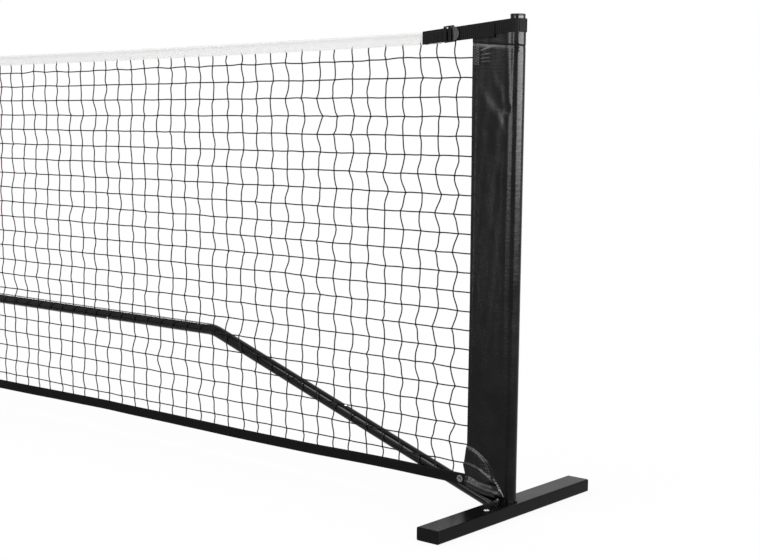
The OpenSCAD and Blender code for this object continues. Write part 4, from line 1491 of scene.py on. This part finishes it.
@dataclass
class StrapSet:
    """Webbing at one end of the net: sewn anchor, strap round the post, tail and bight."""

    shop: Workshop
    side: Side
    tail_reach: float = 39 * MM
    tail_droop: float = 3.0
    tail_lie: float = (19.55 - 17.2) / 150.0
    rib_pitch: float = 4.6 * MM
    rib_height: float = 0.24 * MM
    bar_radius: float = 3.05
    bend: float = 1.3

    def section(self) -> np.ndarray:
        """Outline of the webbing across its length: flat, with softer edges."""
        lay = self.shop.layout
        half = lay.strap_width / 2
        z = -half * np.cos(np.pi * np.linspace(0, 1, 9))
        t = lay.strap_thickness / 2 * (1 - 0.5 * np.abs(z / half) ** 12)
        front = np.stack([-t, z], 1)
        return np.vstack([front, front[::-1] * (-1, 1)])

    def ribbon(
        self, name: str, line: np.ndarray, node: str, body: str = "frame",
        pitch: float = 0.6 * MM,
    ) -> bpy.types.Object:
        """Ribbed webbing along a line.

        Args:
            name: Name of the piece, without its side.
            line: Places of the webbing's middle, from the post axis.
            node: CAD node that it stands for, without its side.
            body: Body that it rides on.
            pitch: Distance between the webbing's sections.

        Returns:
            The piece.
        """
        line = tidy_line(line, pitch)
        heading = directions(line)
        across = np.stack([heading[:, 1], -heading[:, 0], np.zeros(len(line))], 1)
        across /= np.linalg.norm(across, axis=1, keepdims=True)
        ribs = 2 * np.abs(np.cos(np.pi * lengths(line) / self.rib_pitch)) - 1
        section = np.tile(self.section(), (len(line), 1, 1))
        section[:, :, 0] += np.sign(section[:, :, 0]) * (ribs * self.rib_height)[:, None]
        draft = MeshDraft()
        draft.sweep(line + (self.shop.layout.half_span, 0, 0), across,
                    same((0.0, 0.0, 1.0), line), section)
        piece = draft.to_object(self.side.name_of(name), self.shop.finishes.webbing, self.side)
        sharpen(piece, 60)
        return self.shop.settle(piece, Part.WEBBING, [self.side.name_of(node)], body)

    def post_line(self) -> np.ndarray:
        """Plan of the strap from the buckle round the post to the back of the band."""
        lay = self.shop.layout
        half = lay.strap_thickness / 2
        radius = lay.post_radius + lay.sleeve_gap + lay.sleeve_wall + 0.2 * MM + half
        front = np.array([-lay.hinge_reach, lay.hinge_y + 3.1 * MM + half])
        back = np.array([-lay.band_end + 4 * MM, lay.net_y + lay.bead / 2 + 0.3 * MM + half])
        arc = round_post(radius, front, back, 48)
        begin = front + (arc[0] - front) * (3.95 * MM / (lay.hinge_reach - 10 * MM))
        return np.vstack([begin, arc, back, (-lay.anchor_reach, back[1])])

    def build(self) -> None:
        """Builds every length of webbing at this end."""
        plan = tidy_line(self.post_line(), 1.5 * MM)
        self.ribbon("strap_round_post", self.on_strap(plan), "post_strap")
        self.build_tail()
        self.build_anchor()
        self.build_bight()

    def on_strap(self, plan: np.ndarray, fall: Any = 0.0) -> np.ndarray:
        """Places in plan lifted to the strap's height, or so far below it."""
        height = self.shop.layout.strap_z(plan[:, 0]) - fall
        return np.concatenate([plan, height[:, None]], axis=1)

    def in_buckle(self, points: Sequence[tuple[float, float]]) -> np.ndarray:
        """Places given in plan from the buckle's hinge bar, in millimetres."""
        lay = self.shop.layout
        return self.on_strap(np.array(points) * MM + (-lay.hinge_reach, lay.hinge_y))

    def build_tail(self) -> None:
        """Builds the strap's free tail, which lies along its front."""
        lay = self.shop.layout
        start = lay.hinge_reach - 16.4 * MM
        reach = np.linspace(start, self.tail_reach, 40)
        y = lay.hinge_y + 2.05 * MM + self.tail_lie * (start - reach) * 0.98
        lift = 0.3 * MM * smooth(-reach, -0.075, -self.tail_reach)
        fall = math.tan(math.radians(self.tail_droop)) * (start - reach)
        self.ribbon("strap_tail", self.on_strap(np.stack([-reach, y - lift], 1), fall),
                    "post_strap")

    def build_anchor(self) -> None:
        """Builds the webbing that loops the hinge bar and is sewn to the band."""
        lay, r = self.shop.layout, self.bar_radius
        loop = [(r * math.cos(t), r * math.sin(t)) for t in np.radians(np.linspace(90, -150, 22))]
        line = [(-54.5, r), (-20, r), *loop, (-4.4, 0.25), (-6.6, 1.3), (-9, 1.5),
                (-20, 1.5), (-54.5, 1.5)]
        self.ribbon("strap_anchor", tidy_line(self.in_buckle(line), 0.8 * MM), "anchor_strap")
        rows = []
        box = [(-50, 8), (-14, 8), (-14, -8), (-50, -8), (-50, 8)]
        for path in (box, [(-50, 8), (-14, -8)], [(-50, -8), (-14, 8)]):
            places = self.in_buckle([(p, 0.72) for p, _ in path])
            places += [(lay.half_span, 0, q * MM) for _, q in path]
            rows.append(flat_row(places))
        self.shop.sew(self.side.name_of("anchor_stitches"), rows, self.shop.finishes.black_thread,
                      Part.WEBBING, self.side, pitch=3 * MM, length=2.4 * MM, width=0.6 * MM)

    def build_bight(self) -> None:
        """Builds the short bight round the buckle's middle bar."""
        near, far, front = 9.05 + self.bend, 14.95 - self.bend, -2.95 + self.bend
        corner = [(self.bend * math.cos(t), self.bend * math.sin(t))
                  for t in np.radians(np.linspace(180, 270, 6))]
        line = [(near - self.bend, 4.5), *((near + a, front + b) for a, b in corner),
                *((far - a, front + b) for a, b in reversed(corner)), (far + self.bend, 2.7)]
        self.ribbon("strap_bight", tidy_line(self.in_buckle(line), 0.5 * MM), "buckle_webbing",
                    self.side.name_of("buckle"), 0.4 * MM)


@dataclass
class CentrePocket:
    """Webbing pocket behind the headband, over the centre post's top."""

    shop: Workshop
    cavity: float = 10.4 * MM
    wall: float = 1.2 * MM
    low: float = 786 * MM
    top: float = 856 * MM
    roof: float = 3.6 * MM
    plate_width: float = 48 * MM
    plate_height: float = 14 * MM
    edge: float = 0.4 * MM

    def build(self) -> None:
        """Builds the pocket and the plate that it hangs from."""
        shop, outer = self.shop, self.cavity + self.wall
        turns = np.linspace(0, 2 * np.pi, 49)
        ring = np.stack([np.cos(turns), np.sin(turns)], 1)[:-1]
        heights = np.array([0.0, 1.0, 5.0, 20, 40, 60, 66.5, 69.0, 70.0]) * MM + self.low
        swell = np.array([0.99, 1.0, 1.0, 0.995, 1.0, 1.0, 1.0, 0.9, 0.55])
        caves = (self.low, self.low + 30 * MM, self.top - self.roof)
        draft = MeshDraft()
        skins = []
        for radii, levels in ((outer * swell, heights), (np.full(3, self.cavity), caves)):
            skin = np.array([[(*(point * r), h) for point in ring]
                             for r, h in zip(radii, levels)])
            coords = np.stack(np.broadcast_arrays(turns * outer, skin[:, :1, 2]), -1)
            skins.append(draft.grid(skin, coords, closed=True))
        out, cave = skins
        draft.bridge(np.append(out[0], out[0][0]), np.append(cave[0], cave[0][0]), self.wall)
        draft.face(out[-1], ring * outer)
        draft.face(cave[-1][::-1], ring[::-1] * self.cavity)
        pocket = draft.to_object("centre_pocket_tube", shop.finishes.webbing)
        sharpen(pocket, 60)
        shop.settle(pocket, Part.WEBBING, ["centre_pocket"])
        self.build_plate()

    def build_plate(self) -> None:
        """Builds the plate of webbing that is sewn behind the band."""
        half, t = self.plate_width / 2, self.wall / 2
        xs = np.linspace(-half, half, 25)
        y = self.shop.layout.net_y + 1.3 * MM + t
        line = np.stack([xs, np.full_like(xs, y), np.full_like(xs, self.top)], 1)
        low, e = -self.plate_height, self.edge
        draft = MeshDraft()
        draft.level_bar(line, np.array([
            (-t, low + e), (-t, -e), (-t * 0.4, 0), (t * 0.4, 0),
            (t, -e), (t, low + e), (t * 0.4, low), (-t * 0.4, low)]))
        plate = draft.to_object("centre_pocket_plate", self.shop.finishes.webbing)
        self.shop.settle(plate, Part.WEBBING, ["centre_pocket"])


@dataclass
class SteelFrame:
    """Finishes of the pieces that keep their CAD shape."""

    shop: Workshop

    def table(self) -> dict[bpy.types.Material, tuple[str, ...]]:
        """Start of the names of the nodes that wear each material."""
        f = self.shop.finishes
        return {
            f.frame: ("foot_right", "foot_left", "foot_centre", "post_stub"),
            f.tube: ("frame_spigot", "lower_tube", "bend_tube", "rail_", "centre_hub"),
            f.post: ("post_right", "post_left", "centre_post"),
            f.cap: ("foot_caps", "post_cap", "centre_post_cap"),
            f.button: ("button_", "ferrules", "spring_clips"),
            f.rivet: ("rivets",),
            f.eyelet: ("eyelets",),
            f.buckle: ("buckle_right", "buckle_left"),
        }

    def dress(self, nodes: Mapping[str, bpy.types.Object]) -> None:
        """Puts the right material on each node that still shows."""
        for name, node in nodes.items():
            fits = [(len(start), material) for material, starts in self.table().items()
                    for start in starts if name.startswith(start)]
            if not fits:
                continue
            material = max(fits, key=lambda fit: fit[0])[1]
            node.data.materials.clear()
            node.data.materials.append(material)
            log.info("%s wears %s", name, material.name)


@dataclass
class Studio:
    """Floor, camera, lamps and world."""

    post: tuple[float, float, float] = (3.353, 0.0, 0.0)
    lens: float = 72.056
    place: tuple[float, float, float] = (4.95714, -2.35035, 0.78863)
    right: tuple[float, float, float] = (0.77272142, 0.63465579, 0.01065972)
    up: tuple[float, float, float] = (-0.08382294, 0.08538273, 0.99281595)
    forward: tuple[float, float, float] = (-0.62918623, 0.76806368, -0.11917578)
    ambient: float = 0.93
    floor_half: float = 40.0
    floor_share: float = 0.88
    floor_glow: float = 1.03

    def build_camera(self) -> None:
        """Places the camera."""
        data = bpy.data.cameras.new("camera")
        data.lens = self.lens
        data.sensor_width = 36
        data.clip_start, data.clip_end = 0.05, 200
        camera = put_in_scene("camera", data)
        axes = np.array([self.right, self.up, [-v for v in self.forward]]).T
        frame = Matrix(axes.tolist()).to_4x4()
        frame.translation = Vector(self.place)
        camera.matrix_world = frame
        bpy.context.scene.camera = camera

    def seen(self, graph: NodeGraph) -> bpy.types.NodeSocket:
        """1 for a ray that shows the background, straight, mirrored or through glass."""
        rays = graph.add("ShaderNodeLightPath").outputs
        either = graph.math("MAXIMUM", rays["Is Camera Ray"], rays["Is Glossy Ray"])
        return graph.math("MAXIMUM", either, rays["Is Transmission Ray"])

    def build_world(self) -> None:
        """Makes the world white where it is seen, and an even soft light."""
        world = bpy.data.worlds.new("world")
        world.use_nodes = True
        bpy.context.scene.world = world
        graph = NodeGraph(world.node_tree)
        light = world.node_tree.nodes["Background"]
        graph.feed(light.inputs["Color"], (1, 1, 1, 1))
        graph.feed(light.inputs["Strength"], graph.span(self.seen(graph), 0, 1, self.ambient, 1.0))

    def build_floor(self) -> None:
        """Lays a plain pale floor that keeps a soft shadow."""
        mesh = bpy.data.meshes.new("floor")
        corners = [(x * self.floor_half, y * self.floor_half, 0)
                   for x, y in ((-1, -1), (1, -1), (1, 1), (-1, 1))]
        mesh.from_pydata(corners, [], [(0, 1, 2, 3)])
        floor = put_in_scene("floor", mesh)
        graph = ShaderGraph("floor_paint")
        graph.set("Base Color", grey(0.8))
        graph.set("Roughness", 0.9)
        graph.set("Specular IOR Level", 0.0)
        glow = graph.out("ShaderNodeEmission", {"Color": (1, 1, 1, 1), "Strength": self.floor_glow})
        share = graph.math("MULTIPLY", self.seen(graph), self.floor_share)
        mixed = graph.out("ShaderNodeMixShader", {0: share, 1: graph.shader.outputs[0], 2: glow})
        graph.feed(graph.tree.nodes["Material Output"].inputs["Surface"], mixed)
        mesh.materials.append(graph.material)

    def stand(
        self, name: str, azimuth: float, reach: float, height: float,
        size: tuple[float, float], radiance: float, even: bool = False,
    ) -> None:
        """Adds an upright soft lamp that faces the post.

        Args:
            name: Name of the lamp.
            azimuth: Direction from the post in degrees, from +X towards +Y.
            reach: Distance from the post.
            height: Height of its middle.
            size: Width and height of its face.
            radiance: Brightness of its face.
            even: Whether it lights matt surfaces too, and not only glossy ones.
        """
        turn = math.radians(azimuth)
        away = Vector((reach * math.cos(turn), reach * math.sin(turn), height))
        look = Vector((-away.x, -away.y, 0.0))
        self.hang(name, Vector(self.post) + away, look, size, radiance, even)

    def hang(
        self, name: str, place: Sequence[float], look: Vector, size: tuple[float, float],
        radiance: float, even: bool = False,
    ) -> None:
        """Puts one area lamp in the scene.

        Args:
            name: Name of the lamp.
            place: Middle of its face.
            look: Direction in which it shines.
            size: Width and height of its face.
            radiance: Brightness of its face.
            even: Whether it lights matt surfaces too.
        """
        data = bpy.data.lights.new(name, "AREA")
        data.shape = "RECTANGLE"
        data.size, data.size_y = size
        data.energy = radiance * math.pi * size[0] * size[1]
        lamp = put_in_scene(name, data)
        lamp.location = place
        lamp.rotation_mode = "QUATERNION"
        lamp.rotation_quaternion = look.to_track_quat("-Z", "Y")
        lamp.visible_camera = False
        lamp.visible_diffuse = even

    def build(self) -> None:
        """Sets up the whole studio."""
        self.build_camera()
        self.build_world()
        self.build_floor()
        self.stand("front_fill", -108, 2.9, 1.6, (2.0, 1.6), 1.6, True)
        self.stand("key_strip", -101, 2.3, 1.45, (0.45, 1.8), 26.0)
        self.stand("front_softbox", -127, 1.6, 1.6, (0.74, 0.68), 17.0)
        self.stand("side_softbox", -6, 2.0, 1.4, (3.4, 1.6), 34.0)
        self.stand("low_spot", -115, 2.6, 0.3, (0.3, 0.25), 18.0)
        self.hang("overhead_strip", (-0.6, 0.8, 2.4), Vector((0, 0, -1)), (2.1, 0.22), 38.0)
        bpy.context.scene.view_settings.view_transform = "Standard"


def main() -> None:
    """Builds the net on its frame."""
    logging.basicConfig(level=logging.INFO, format="%(message)s")
    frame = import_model()
    shop = Workshop(Layout(), Finishes.mix(), CordRecipe(), KnotRecipe(), StitchRecipe())
    Studio().build()
    CourtNet(shop).build()
    Headband(shop).build()
    BottomTape(shop).build()
    for side in Side:
        PostSleeve(shop, side).build()
        StrapSet(shop, side).build()
    CentrePocket(shop).build()
    SteelFrame(shop).dress(frame["nodes"])


if __name__ == "__main__":
    main()
